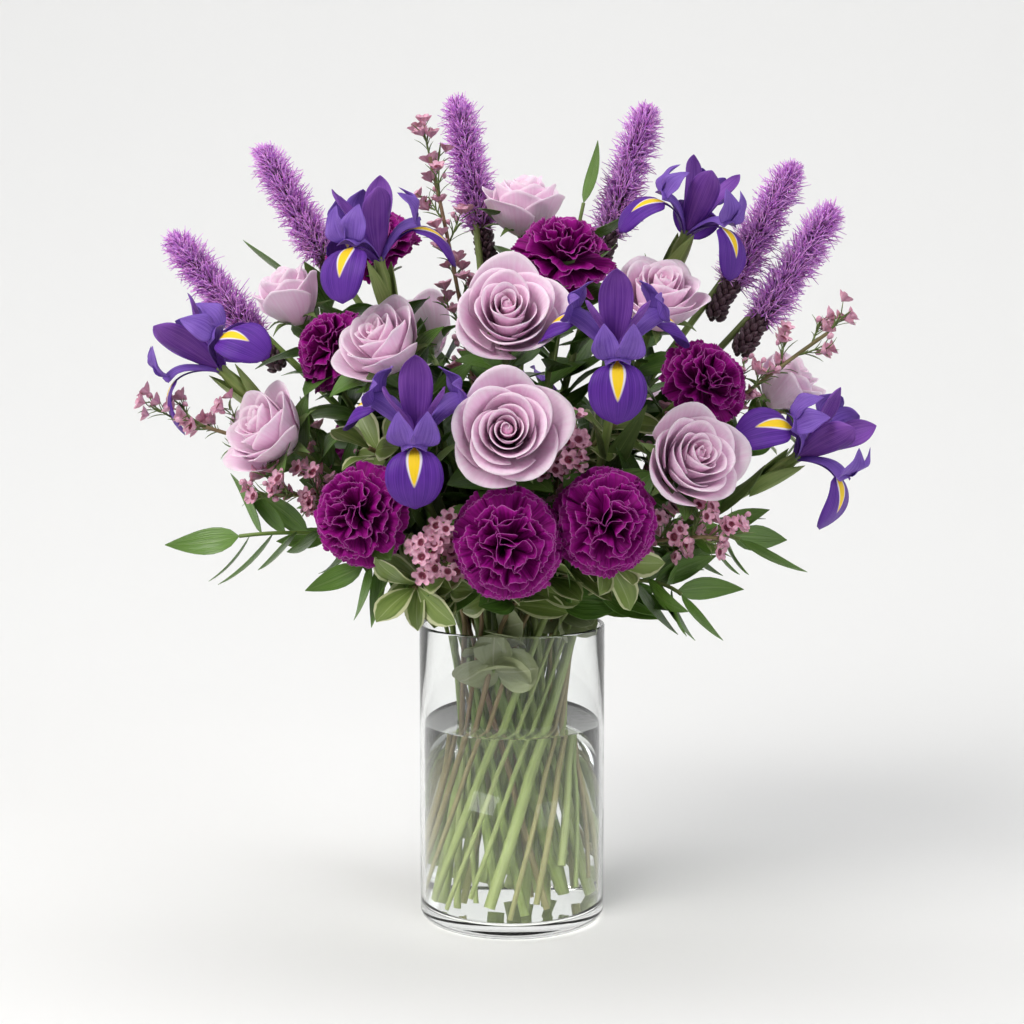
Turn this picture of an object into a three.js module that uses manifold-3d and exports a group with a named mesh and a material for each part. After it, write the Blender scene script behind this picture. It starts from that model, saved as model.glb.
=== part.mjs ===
// A mixed bouquet of irises, roses, carnations, blazing star, waxflower and greenery, standing in a glass
// cylinder of water. Millimetres, +Z up, the origin at the centre of the vase's foot, and the bouquet's
// front towards -Y. Every cut stem is one solid: its stalk, its bloom and its leaves grew together.

import * as THREE from "three";
import { ParametricGeometry } from "three/addons/geometries/ParametricGeometry.js";
import { mergeVertices } from "three/addons/utils/BufferGeometryUtils.js";
import Module from "manifold-3d";

const wasm = await Module();
wasm.setup();

// Driving dimensions.
const VASE = { radius: 63.5, height: 203, wall: 3, floor: 9, corner: 4, lip: 0.9, sides: 40 };
const WATER_LEVEL = 134;
const GAP = 0.3; // the least distance between neighbouring solids

// The bundle is narrowest at the waist. Its stalks stand in rings there, and each ring leans round the
// axis the other way from the ring inside it, so every stalk in the vase is straight and no two meet.
const WAIST = { height: 122, twist: 95, aim: 300 };
const RINGS = [
  { radius: 35.2, stalks: 22 },
  { radius: 26.4, stalks: 17 },
  { radius: 17.6, stalks: 12 },
  { radius: 8.8, stalks: 6 },
  { radius: 0, stalks: 1 },
];
const FOOT = { lowest: 12, spread: 36 }; // heights of the cut ends
const ROOT = 2; // how far a leaf reaches back into its stalk
const HEART = new THREE.Vector3(0, 20, 230); // the middle of the dome of blooms, which leaves face away from

// Each kind of stem: its stalk's radius, how far its bloom reaches back from its place, its leaves and
// its colour. A leaf has a length, a half width, an angle it opens from the stalk, and a turn round the
// stalk from one leaf to the next. The leaves are spread over a share of the stalk's length.
const KINDS = {
  rose: { stalk: 2.7, back: 34, colour: 0xd9b3dc, bloom: rose },
  carnation: { stalk: 2.3, back: 44, colour: 0x7d1185, bloom: carnation },
  iris: { stalk: 3.6, back: 30, colour: 0x3a2fae, bloom: iris },
  liatris: { stalk: 3, back: 118, colour: 0x9a5cc9, bloom: liatris },
  waxflower: { stalk: 1.6, back: 24, colour: 0xd58fb4, bloom: null },
  ruscus: { stalk: 1.6, back: 46, colour: 0x3f6b35, bloom: null },
  pittosporum: { stalk: 2, back: 38, colour: 0x5f8446, bloom: null },
  eucalyptus: { stalk: 1.7, back: 34, colour: 0x8fa48f, bloom: null },
};
const LEAVES = {
  rose: { count: 1, from: 0.45, to: 0.7, length: 44, half: 12, open: 55, turn: 180, bow: 5 },
  carnation: { count: 1, from: 0.55, to: 0.75, length: 48, half: 3.2, open: 35, turn: 180, bow: -5 },
  iris: { count: 1, from: 0.4, to: 0.5, length: 95, half: 6, open: 16, turn: 180, bow: -8 },
  liatris: { count: 2, from: 0.45, to: 0.8, length: 42, half: 2.4, open: 28, turn: 137.5, bow: -4 },
  ruscus: { count: 8, from: 0.42, to: 1, length: 46, half: 8.5, open: 48, turn: 180, bow: -4 },
  pittosporum: { count: 8, from: 0.42, to: 1, length: 38, half: 8.5, open: 58, turn: 137.5, bow: 3 },
  eucalyptus: { count: 6, from: 0.4, to: 1, length: 34, half: 15, open: 70, turn: 137.5, bow: 2 },
};

const SPRAY = { flowers: 7, from: 0.6, length: 24, open: 50 };

// The planting plan. A flower's place is the middle of its bloom, a spike's or a spray's is its tip. Each
// faces a bearing round the vase, 0 at the front and 90 at the right, and a rise above the horizontal.
const PLAN = {
  rose_1: { at: [-152, -10, 431], faces: [-60, 62], size: 0.85 },
  rose_2: { at: [-85, -85, 398], faces: [-35, 42], size: 0.92 },
  rose_3: { at: [-162, -70, 341], faces: [-48, 30], size: 0.92 },
  rose_4: { at: [8, 14, 495], faces: [0, 75], size: 0.9 },
  rose_5: { at: [-3, -105, 415], faces: [0, 25], size: 1 },
  rose_6: { at: [-3, -140, 341], faces: [0, 12], size: 1.02 },
  rose_7: { at: [97, -50, 430], faces: [15, 50], size: 0.92 },
  rose_8: { at: [115, -105, 324], faces: [22, 22], size: 0.96 },
  rose_9: { at: [187, -20, 372], faces: [65, 50], size: 0.82 },
  rose_10: { at: [-75, 100, 405], faces: [-145, 35], size: 0.95 },
  rose_11: { at: [85, 105, 350], faces: [145, 25], size: 1 },
  carnation_1: { at: [-101, 12, 471], faces: [-30, 55], size: 0.95 },
  carnation_2: { at: [34, -50, 462], faces: [10, 65], size: 1.02 },
  carnation_3: { at: [-127, -42, 396], faces: [-55, 30], size: 0.85 },
  carnation_4: { at: [-102, -115, 289], faces: [-30, 10], size: 0.93 },
  carnation_5: { at: [-3, -140, 269], faces: [0, -5], size: 1.02 },
  carnation_6: { at: [61, -130, 284], faces: [10, 2], size: 0.98 },
  carnation_7: { at: [132, -60, 373], faces: [35, 25], size: 0.9 },
  carnation_8: { at: [-120, 75, 320], faces: [-125, 20], size: 0.95 },
  carnation_9: { at: [10, 85, 440], faces: [170, 50], size: 1 },
  iris_1: { at: [-86, -62, 452], faces: [-30, 70], size: 1 },
  iris_2: { at: [-195, -38, 381], faces: [-75, 45], size: 1 },
  iris_3: { at: [-58, -118, 340], faces: [0, 48], size: 1 },
  iris_4: { at: [62, -125, 391], faces: [0, 48], size: 1 },
  iris_5: { at: [117, -25, 471], faces: [50, 62], size: 0.95 },
  iris_6: { at: [189, -60, 324], faces: [55, 35], size: 1 },
  iris_7: { at: [0, 125, 340], faces: [180, 40], size: 1 },
  liatris_1: { at: [-231, 20, 465], faces: [-92, 51], size: 1 },
  liatris_2: { at: [-177, 70, 530], faces: [-95, 60], size: 1 },
  liatris_3: { at: [-38, 45, 560], faces: [-90, 79], size: 1 },
  liatris_4: { at: [92, 20, 551], faces: [90, 73], size: 1 },
  liatris_5: { at: [190, 10, 511], faces: [90, 62], size: 1 },
  liatris_6: { at: [215, 0, 482], faces: [90, 57], size: 1 },
  waxflower_1: { at: [-58, -10, 531], faces: [-60, 75] },
  waxflower_2: { at: [-235, -50, 349], faces: [-95, 15] },
  waxflower_3: { at: [-165, -85, 295], faces: [-70, -5] },
  waxflower_4: { at: [38, -118, 330], faces: [15, 25] },
  waxflower_5: { at: [-50, -135, 262], faces: [-10, 0] },
  waxflower_6: { at: [138, -115, 272], faces: [40, 0] },
  waxflower_7: { at: [216, -50, 408], faces: [90, 35] },
  waxflower_8: { at: [60, 130, 290], faces: [155, 10] },
  ruscus_1: { at: [-219, -70, 264], faces: [-98, -8] },
  ruscus_2: { at: [-135, -90, 232], faces: [-75, -25] },
  ruscus_3: { at: [188, -70, 247], faces: [75, -25] },
  ruscus_4: { at: [142, -85, 205], faces: [60, -35] },
  ruscus_5: { at: [58, 10, 533], faces: [90, 78] },
  ruscus_6: { at: [-190, 40, 465], faces: [-95, 35] },
  ruscus_7: { at: [-150, 120, 280], faces: [-130, -5] },
  ruscus_8: { at: [160, 115, 250], faces: [130, -10] },
  pittosporum_1: { at: [-117, -90, 339], faces: [-45, 20] },
  pittosporum_2: { at: [-78, -120, 220], faces: [-30, -30] },
  pittosporum_3: { at: [248, -20, 367], faces: [85, 10] },
  pittosporum_4: { at: [91, -75, 360], faces: [45, 30] },
  pittosporum_5: { at: [81, -120, 242], faces: [30, -20] },
  pittosporum_6: { at: [-30, 125, 235], faces: [-170, -20] },
  eucalyptus_1: { at: [-14, -62, 246], faces: [-10, 80] },
  eucalyptus_2: { at: [33, -78, 262], faces: [15, 60] },
  eucalyptus_3: { at: [50, 88, 262], faces: [150, 40] },
};

const UP = new THREE.Vector3(0, 0, 1);
const radians = THREE.MathUtils.degToRad;

// The unit vector of a bearing and a rise, in degrees.
function direction([bearing, rise]) {
  const flat = Math.cos(radians(rise));
  return new THREE.Vector3(
    Math.sin(radians(bearing)) * flat,
    -Math.cos(radians(bearing)) * flat,
    Math.sin(radians(rise)),
  );
}

// A closed geometry as a solid, with its shared corners merged and its faces pointing out.
function solid(geometry) {
  const bare = geometry.index ? geometry.toNonIndexed() : geometry.clone();
  bare.deleteAttribute("normal");
  bare.deleteAttribute("uv");
  const merged = mergeVertices(bare, 1e-3);
  const vertProperties = merged.attributes.position.array;
  const triVerts = new Uint32Array(merged.index.array);
  const made = new wasm.Manifold(new wasm.Mesh({ numProp: 3, vertProperties, triVerts }));
  if (made.volume() > 0) return made;
  triVerts.reverse();
  return new wasm.Manifold(new wasm.Mesh({ numProp: 3, vertProperties, triVerts }));
}

// A profile of [radius, height] pairs turned about Z.
function turned(profile, sides) {
  const points = profile.map(([radius, height]) => new THREE.Vector2(radius, height));
  return solid(new THREE.LatheGeometry(points, sides).rotateX(Math.PI / 2));
}

function tube(curve, steps, radius, sides) {
  const shape = new THREE.Shape(
    Array.from({ length: sides }, (_, i) => {
      const angle = (i * 2 * Math.PI) / sides;
      return new THREE.Vector2(radius * Math.cos(angle), radius * Math.sin(angle));
    }),
  );
  return solid(new THREE.ExtrudeGeometry(shape, { steps, extrudePath: curve, bevelEnabled: false }));
}

// A leaf or a petal: a flat lozenge section carried along a bowed spine. It lies along +X and its face is
// towards +Z. outline gives the share of the half width at a share of the length.
function blade({ length, half, bow, outline, thick = 1.1, steps = 3 }) {
  const surface = (around, along, target) => {
    const inside = along > 0.001 && along < 0.999;
    const across = inside ? Math.cos(around * 2 * Math.PI) * half * outline(along) : 0;
    const body = inside ? (Math.sin(around * 2 * Math.PI) * thick) / 2 : 0;
    target.set(along * (length + ROOT) - ROOT, across, bow * 4 * along * (1 - along) + body);
  };
  return solid(new ParametricGeometry(surface, 4, steps));
}

const LEAF = (along) => Math.sin(Math.PI * along ** 0.85) ** 0.8;
const PETAL = (along) => 0.25 + 0.75 * Math.sin(Math.PI * Math.min(1, along ** 1.5 * 0.62)) ** 1.2;

// A blade placed with its length along one vector and its face towards another.
function placed(shape, point, along, face) {
  const x = along.clone().normalize();
  const y = new THREE.Vector3().crossVectors(face, x).normalize();
  const z = new THREE.Vector3().crossVectors(x, y);
  return shape.transform(new THREE.Matrix4().makeBasis(x, y, z).setPosition(point).elements);
}

// A rose: a deep cup of spiralled petals, widest near its open rim.
function rose() {
  return turned([[0, 0], [9, 1], [25, 15], [32, 47], [25, 58], [10, 55], [0, 59]], 8);
}

// A carnation: a slim calyx that opens into a broad ruffled head.
function carnation() {
  return turned([[0, 0], [6, 2], [6.5, 25], [31, 37], [30, 46], [18, 56], [0, 58]], 8);
}

// An iris: three falls that arch out and down, and three standards that rise between them.
function iris() {
  const fall = blade({ length: 48, half: 14, bow: 7, outline: PETAL, thick: 1.6 });
  const standard = blade({ length: 46, half: 10, bow: -4, outline: LEAF, thick: 1.6 });
  const petals = [0, 1, 2].flatMap((i) => [
    placed(fall, new THREE.Vector3(0, 0, 24), direction([i * 120, -8]), direction([i * 120, 82])),
    placed(standard, new THREE.Vector3(0, 0, 24), direction([60 + i * 120, 62]), direction([240 + i * 120, 28])),
  ]);
  const ovary = turned([[0, 0], [5.5, 2], [6, 18], [4.5, 27], [0, 29]], 6);
  return wasm.Manifold.union([ovary, ...petals]);
}

// A blazing star: a long spike, shaggy with open florets above and tight dark buds below.
function liatris() {
  return turned([[0, 0], [5, 1], [8, 16], [11.5, 34], [13.5, 55], [12.5, 85], [8, 108], [0, 120]], 8);
}

// One stem of the plan: where its bloom stands, and its place in the bundle.
function plant([name, spec]) {
  const kind = name.replace(/_\d+$/, "");
  const facing = direction(spec.faces);
  const size = spec.size ?? 1;
  const end = new THREE.Vector3(...spec.at).addScaledVector(facing, -KINDS[kind].back * size);
  const lean = Math.hypot(end.x, end.y) / (end.z - WAIST.height);
  const bearing = Math.atan2(end.y, end.x);
  return { name, kind, spec, facing, size, end, lean, bearing };
}

// The bloom's frame has Z along the way it faces, and -Y down the front of it.
function bloomOf({ kind, spec, facing, size, end }) {
  if (!KINDS[kind].bloom) return null;
  const upright = new THREE.Quaternion().setFromAxisAngle(UP, radians(spec.faces[0] + (spec.roll ?? 0)));
  const turn = new THREE.Quaternion().setFromUnitVectors(UP, facing).multiply(upright);
  const scale = new THREE.Vector3(size, size, size);
  return KINDS[kind].bloom().transform(new THREE.Matrix4().compose(end, turn, scale).elements);
}

// Where a stalk of a ring stands at a height: a straight line past its place at the waist.
function bundlePoint(place, side, height) {
  const lean = (side * (height - WAIST.height)) / WAIST.twist;
  return new THREE.Vector3(place.x - lean * place.y, place.y + lean * place.x, height);
}

// The stems that lean out most take the outer ring. Round a ring they keep the order of their bearings.
function seat(plants) {
  const waiting = [...plants].sort((a, b) => b.lean - a.lean);
  const swing = Math.atan((WAIST.aim - WAIST.height) / WAIST.twist);
  RINGS.forEach(({ radius, stalks }, ring) => {
    const side = ring % 2 ? -1 : 1;
    const group = waiting.splice(0, stalks).sort((a, b) => a.bearing - b.bearing);
    const step = (2 * Math.PI) / stalks;
    const sum = (f) => group.reduce((total, p, i) => total + f(p.bearing - i * step), 0);
    const start = Math.atan2(sum(Math.sin), sum(Math.cos)) - side * swing;
    group.forEach((p, i) => {
      const angle = start + i * step;
      p.side = side;
      p.place = new THREE.Vector2(radius * Math.cos(angle), radius * Math.sin(angle));
    });
  });
}

// A stalk's centreline: one straight step up through the vase, then a Bezier curve out to the bloom.
class Stalk extends THREE.Curve {
  constructor(foot, rim, end, facing, bend, bow) {
    super();
    const leaving = rim.clone().sub(foot).normalize();
    const reach = rim.distanceTo(end);
    const sideways = new THREE.Vector3().crossVectors(leaving, facing).setLength(bow * reach);
    this.foot = foot;
    this.steps = 5;
    this.upper = new THREE.CubicBezierCurve3(
      rim,
      rim.clone().addScaledVector(leaving, bend[0] * reach),
      end.clone().addScaledVector(facing, -bend[1] * reach).add(sideways),
      end,
    );
  }
  getPointAt(u, target = new THREE.Vector3()) {
    const step = u * this.steps;
    if (step < 1) return target.lerpVectors(this.foot, this.upper.v0, step);
    return this.upper.getPoint(Math.min(1, (step - 1) / (this.steps - 1)), target);
  }
  getTangentAt(u, target = new THREE.Vector3()) {
    return this.upper.getTangent(Math.max(0, (u * this.steps - 1) / (this.steps - 1)), target);
  }
  // The middle of the faceted stalk, which leaves grow from.
  core(u) {
    const step = Math.min(this.steps - 1, Math.floor(u * this.steps));
    const next = this.getPointAt((step + 1) / this.steps);
    return this.getPointAt(step / this.steps).lerp(next, u * this.steps - step);
  }
}

// True where a solid keeps its distance from all the others.
function clear(shape, others) {
  const box = shape.boundingBox();
  return others.every((other) => {
    const near = other.box;
    const apart = [0, 1, 2].some((k) => box.min[k] - GAP > near.max[k] || near.min[k] - GAP > box.max[k]);
    return apart || shape.minGap(other.shape, GAP) >= GAP;
  });
}

function boxed(shape) {
  return { shape, box: shape.boundingBox() };
}

// Bends the stalk one way or another until it clears its neighbours in the dome.
function growStalk(p, others) {
  const { stalk: radius, sides } = { sides: 5, ...KINDS[p.kind] };
  const tip = p.end.clone().addScaledVector(p.facing, KINDS[p.kind].bloom ? 3 : 0);
  for (const bow of [0, 0.12, -0.12, 0.24, -0.24, 0.36, -0.36]) {
    for (const bend of [[0.35, 0.35], [0.2, 0.45], [0.5, 0.3], [0.35, 0.55], [0.6, 0.2], [0.15, 0.2]]) {
      const curve = new Stalk(p.foot, p.rim, tip, p.facing, bend, bow);
      const shape = tube(curve, curve.steps, radius, sides);
      if (clear(shape, others)) return { curve, shape };
    }
  }
  throw new Error(`${p.name} finds no way through`);
}

// Leaves along the stalk. One that would touch a neighbour turns round the stalk until it finds room, and
// is left off where there is none.
function growLeaves(p, others) {
  const leaf = LEAVES[p.kind];
  if (!leaf) return [];
  const shape = blade({ ...leaf, outline: LEAF });
  const grown = [];
  for (let i = 0; i < leaf.count; i++) {
    const u = leaf.from + ((leaf.to - leaf.from) * i) / Math.max(1, leaf.count - 1);
    const point = p.curve.core(u);
    const along = p.curve.getTangentAt(u);
    const out = point.clone().sub(HEART).normalize();
    const side = new THREE.Vector3().crossVectors(along, out).normalize();
    const up = new THREE.Vector3().crossVectors(side, along);
    const open = radians(u < 1 ? leaf.open : 0);
    for (const extra of [0, 30, -30, 60, -60, 90, -90]) {
      const phi = radians(i * leaf.turn + extra);
      const radial = side.clone().multiplyScalar(Math.cos(phi)).addScaledVector(up, Math.sin(phi));
      const way = along.clone().multiplyScalar(Math.cos(open)).addScaledVector(radial, Math.sin(open));
      const tried = placed(shape, point, way, out.clone().addScaledVector(along, 0.7));
      if (!clear(tried, others)) continue;
      grown.push(tried);
      break;
    }
  }
  return grown;
}

// A frame at a point with its Z along a way.
function placement(point, way) {
  const turn = new THREE.Quaternion().setFromUnitVectors(UP, way.clone().normalize());
  return new THREE.Matrix4().compose(point, turn, new THREE.Vector3(1, 1, 1));
}

// A flower of waxflower: a small five-sided cup on a thin stalk of its own.
function sprig() {
  const { length } = SPRAY;
  return turned([[0, -1], [0.9, -0.9], [0.9, length - 8], [5.2, length], [0, length + 1.5]], 5);
}

// Waxflower carries its flowers all round the upper stalk, each where it finds room.
function growSpray(p, others) {
  const shape = sprig();
  const grown = [];
  for (let i = 0; i < SPRAY.flowers; i++) {
    const u = SPRAY.from + ((1 - SPRAY.from) * i) / (SPRAY.flowers - 1);
    const point = p.curve.core(u);
    const along = p.curve.getTangentAt(u);
    const side = new THREE.Vector3().crossVectors(along, UP).normalize();
    const up = new THREE.Vector3().crossVectors(side, along);
    for (const extra of [0, 40, -40, 80, -80]) {
      const phi = radians(i * 137.5 + extra);
      const open = radians(u < 1 ? SPRAY.open : 0);
      const radial = side.clone().multiplyScalar(Math.cos(phi)).addScaledVector(up, Math.sin(phi));
      const way = along.clone().multiplyScalar(Math.cos(open)).addScaledVector(radial, Math.sin(open));
      const tried = shape.transform(placement(point, way).elements);
      if (!clear(tried, others)) continue;
      grown.push(tried);
      break;
    }
  }
  return grown;
}

// The glass cylinder: a thick flat floor, a rounded foot and a softened rim.
function vase() {
  const { radius, height, wall, floor, corner, lip } = VASE;
  const foot = [0, 1, 2, 3].map((i) => {
    const angle = (i * Math.PI) / 6;
    return [radius - corner + corner * Math.sin(angle), corner - corner * Math.cos(angle)];
  });
  const outside = [[0, 0], ...foot, [radius, height - lip], [radius - lip, height]];
  const inner = radius - wall;
  const inside = [[inner + lip, height], [inner, height - lip], [inner, floor + 2], [inner - 2, floor], [0, floor]];
  return turned([...outside, ...inside], VASE.sides);
}

// The water stands round the stalks, which it leaves free.
function water(plants) {
  const radius = VASE.radius - VASE.wall - GAP;
  const low = VASE.floor + GAP;
  const body = turned([[0, low], [radius - 2, low], [radius, low + 2], [radius, WATER_LEVEL], [0, WATER_LEVEL]], VASE.sides);
  const holes = plants.map((p) => {
    const { stalk, sides } = { sides: 5, ...KINDS[p.kind] };
    const bottom = p.foot.clone().lerp(p.rim, -0.004);
    const line = new THREE.LineCurve3(bottom, p.rim);
    return tube(line, 1, (stalk + GAP) / Math.cos(Math.PI / sides), sides);
  });
  return body.subtract(wasm.Manifold.union(holes));
}

// A solid as a named mesh that stands at its own point.
function mesh(name, shape, colour, roughness, origin = new THREE.Vector3(), metalness = 0) {
  const { vertProperties, triVerts } = shape.getMesh();
  const geometry = new THREE.BufferGeometry();
  geometry.setAttribute("position", new THREE.BufferAttribute(vertProperties, 3));
  geometry.setIndex(new THREE.BufferAttribute(triVerts, 1));
  geometry.translate(-origin.x, -origin.y, -origin.z);
  const made = new THREE.Mesh(geometry, new THREE.MeshStandardMaterial({ color: colour, roughness, metalness }));
  made.position.copy(origin);
  made.name = name;
  return made;
}

const glass = vase();
const plants = Object.entries(PLAN).map(plant);
seat(plants);
plants.forEach((p, i) => {
  p.foot = bundlePoint(p.place, p.side, FOOT.lowest + FOOT.spread * ((i * 0.618) % 1) ** 2);
  p.rim = bundlePoint(p.place, p.side, VASE.height);
  p.bloom = bloomOf(p);
  p.core = p.bloom ? [boxed(p.bloom)] : [];
});

const walls = [boxed(glass)];
const restOf = (p, key) => plants.flatMap((other) => (other === p ? [] : other[key] ?? []));
for (const p of plants) {
  const { curve, shape } = growStalk(p, [...walls, ...restOf(p, "core")]);
  p.curve = curve;
  p.core.push(boxed(shape));
}
for (const p of plants) {
  const others = [...walls, ...restOf(p, "core"), ...restOf(p, "green")];
  const grown = p.kind === "waxflower" ? growSpray(p, others) : growLeaves(p, others);
  p.green = grown.map(boxed);
}

const bouquet = new THREE.Group();
bouquet.add(mesh("vase", glass, 0xdfe9ea, 0.05));
bouquet.add(mesh("water", water(plants), 0xc9d8dc, 0.05));
for (const p of plants) {
  const shape = wasm.Manifold.union([...p.core, ...p.green].map((part) => part.shape)).simplify(0.02);
  bouquet.add(mesh(p.name, shape, KINDS[p.kind].colour, 0.7, p.foot));
}

export default bouquet;
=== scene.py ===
import math

import bpy
import numpy as np
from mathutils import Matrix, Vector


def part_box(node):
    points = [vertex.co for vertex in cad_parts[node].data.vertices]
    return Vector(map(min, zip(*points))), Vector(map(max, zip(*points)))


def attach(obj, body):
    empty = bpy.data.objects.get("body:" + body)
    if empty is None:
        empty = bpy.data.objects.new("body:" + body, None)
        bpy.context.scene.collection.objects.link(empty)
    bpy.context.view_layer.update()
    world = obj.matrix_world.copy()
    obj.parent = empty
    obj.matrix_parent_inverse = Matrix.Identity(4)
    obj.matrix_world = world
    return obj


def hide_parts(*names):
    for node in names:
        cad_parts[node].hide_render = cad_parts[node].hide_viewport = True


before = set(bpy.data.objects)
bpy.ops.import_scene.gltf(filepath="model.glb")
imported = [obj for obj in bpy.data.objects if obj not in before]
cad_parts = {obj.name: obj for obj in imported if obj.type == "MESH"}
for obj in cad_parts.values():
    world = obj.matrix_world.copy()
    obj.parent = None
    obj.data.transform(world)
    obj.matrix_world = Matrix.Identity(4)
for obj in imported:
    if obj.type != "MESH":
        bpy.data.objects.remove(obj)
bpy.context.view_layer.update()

# ---------------------------------------------------------------------------------------------------------
# The studio: a camera a little above the blooms, a pale seamless bowl of paper that is open at the front, a
# broad soft lamp at the upper left, a weaker one at the right and one overhead that lights the paper behind.
# ---------------------------------------------------------------------------------------------------------
camera = bpy.data.objects.new("camera", bpy.data.cameras.new("camera"))
bpy.context.scene.collection.objects.link(camera)
camera.location = (0.0, -1.155, 0.384)
camera.rotation_euler = (math.radians(90 - 5.2), 0, 0)
camera.data.lens = 59.8
camera.data.clip_start = 0.05
bpy.context.scene.camera = camera
bpy.context.scene.view_settings.view_transform = "Standard"


def make(name, points, faces, uv=None, smooth_below=180, **marks):
    """A mesh object from points (n, 3) in millimetres, arrays of faces, a UV pair per point and named marks.

    Each mark is one number per point. Edges that turn by more than smooth_below degrees stay crisp."""
    mesh = bpy.data.meshes.new(name)
    corners = np.concatenate([f.ravel() for f in faces]).astype(np.int32)
    sizes = np.concatenate([np.full(len(f), f.shape[1]) for f in faces])
    mesh.vertices.add(len(points))
    mesh.vertices.foreach_set("co", (np.asarray(points) * 0.001).astype(np.float32).ravel())
    mesh.loops.add(len(corners))
    mesh.loops.foreach_set("vertex_index", corners)
    mesh.polygons.add(len(sizes))
    mesh.polygons.foreach_set("loop_start", (np.cumsum(sizes) - sizes).astype(np.int32))
    mesh.polygons.foreach_set("use_smooth", np.ones(len(sizes), dtype=bool))
    if uv is not None:
        layer = mesh.uv_layers.new(name="UVMap")
        layer.data.foreach_set("uv", uv[corners].astype(np.float32).ravel())
    for mark, values in marks.items():
        layer = mesh.attributes.new(mark, "FLOAT", "POINT")
        layer.data.foreach_set("value", values.astype(np.float32).ravel())
    mesh.update(calc_edges=True)
    mesh.validate()
    if smooth_below < 180:
        mesh.set_sharp_from_angle(angle=math.radians(smooth_below))
    piece = bpy.data.objects.new(name, mesh)
    bpy.context.scene.collection.objects.link(piece)
    return piece


def turned(profile, sides):
    """Points and faces of a profile of (radius, height) carried round Z, with its ends closed on the axis."""
    angle = np.linspace(0, 2 * np.pi, sides, endpoint=False)
    radius, height = np.asarray(profile[1:-1], float).T
    level = np.outer(height, np.ones(sides))
    rings = np.stack([np.outer(radius, np.cos(angle)), np.outer(radius, np.sin(angle)), level], -1)
    points = np.concatenate([rings.reshape(-1, 3), [[0, 0, profile[0][1]], [0, 0, profile[-1][1]]]])
    number = np.arange(rings.shape[0] * sides).reshape(-1, sides)
    after = np.roll(number, -1, axis=1)
    quads = np.stack([number[:-1], after[:-1], after[1:], number[1:]], -1).reshape(-1, 4)
    first = np.stack([after[0], number[0], np.full(sides, len(points) - 2)], -1)
    last = np.stack([number[-1], after[-1], np.full(sides, len(points) - 1)], -1)
    return points, [quads, first, last]


def arc(centre, radius, start, end, steps):
    """(radius, height) points of a round of that radius about a centre, from a start to an end in degrees."""
    angle = np.radians(np.linspace(start, end, steps))
    return [(centre[0] + radius * math.cos(a), centre[1] + radius * math.sin(a)) for a in angle]


def material(name, **values):
    """A new material and its Principled shader, with plain values set on the shader's own sockets."""
    made = bpy.data.materials.new(name)
    made.use_nodes = True
    shader = made.node_tree.nodes["Principled BSDF"]
    for socket, value in values.items():
        shader.inputs[socket.replace("_", " ")].default_value = value
    return made, shader


PAPER_FLAT, PAPER_ROUND, PAPER_DROP, PAPER_OPENING = 800, 2700, -0.5, -0.6
paper_profile = [(0, PAPER_DROP), (PAPER_FLAT, PAPER_DROP)]
paper_profile += arc((PAPER_FLAT, PAPER_ROUND + PAPER_DROP), PAPER_ROUND, -90, -12, 60)
paper_points, paper_faces = turned(paper_profile + paper_profile[-1:], 96)
paper_walls = paper_faces[0]
paper_middles = paper_points[paper_walls].mean(1)
behind = paper_middles[:, 1] > PAPER_OPENING * np.hypot(paper_middles[:, 0], paper_middles[:, 1])
paper = make("paper_floor", paper_points, [paper_walls[behind], paper_faces[1]])
paper.data.materials.append(material("studio_paper", Base_Color=(0.90, 0.90, 0.895, 1), Roughness=1.0)[0])
paper.data.flip_normals()


def lamp(name, place, aim, size, power, colour):
    """A square soft lamp that shines from its place towards a point."""
    light = bpy.data.lights.new(name, "AREA")
    light.size, light.energy, light.color = size, power, colour
    holder = bpy.data.objects.new(name, light)
    bpy.context.scene.collection.objects.link(holder)
    holder.location = place
    way = np.array(aim, float) - np.array(place, float)
    across = math.hypot(way[0], way[1])
    holder.rotation_euler = (math.atan2(across, -way[2]), 0, math.atan2(-way[0], way[1]))


lamp("key_lamp", (-1.25, -1.35, 1.75), (0, 0, 0.33), 1.3, 44, (1.0, 0.985, 0.96))
lamp("fill_lamp", (1.9, -1.5, 1.2), (0, 0, 0.3), 1.6, 24, (0.96, 0.98, 1.0))
lamp("wall_lamp", (0, 0.5, 2.7), (0, 3.4, 0.8), 2.5, 50, (1.0, 1.0, 1.0))
world = bpy.data.worlds.new("studio_air")
world.use_nodes = True
world.node_tree.nodes["Background"].inputs["Color"].default_value = (0.14, 0.14, 0.14, 1)
bpy.context.scene.world = world

# ---------------------------------------------------------------------------------------------------------
# The vase: a cylinder of clear pressed glass with a thick flat floor, a rounded foot and a fire-polished
# rim. It stands on its foot and everything else stands in it.
# ---------------------------------------------------------------------------------------------------------
vase_low, vase_high = (np.array(corner) * 1000 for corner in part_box("vase"))
VASE_RADIUS, VASE_HEIGHT = (vase_high[0] - vase_low[0]) / 2, vase_high[2]
VASE_WALL, VASE_FLOOR, VASE_SIDES = 3.0, 9.0, 160
inner_radius = VASE_RADIUS - VASE_WALL
vase_profile = (
    [(0, 0.6), (VASE_RADIUS - 12, 0.6), (VASE_RADIUS - 9, 0)]
    + arc((VASE_RADIUS - 5, 5), 5, -90, 0, 8)
    + [(VASE_RADIUS, 60), (VASE_RADIUS, 130)]
    + arc((VASE_RADIUS - 1.5, VASE_HEIGHT - 1.5), 1.5, 0, 180, 11)
    + [(inner_radius, 130), (inner_radius, 60)]
    + arc((inner_radius - 5, VASE_FLOOR + 5), 5, 0, -90, 8)
    + [(inner_radius - 30, VASE_FLOOR - 0.6), (0, VASE_FLOOR - 1)]
)
vase_glass = make("vase_glass", *turned(vase_profile, VASE_SIDES))


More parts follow.
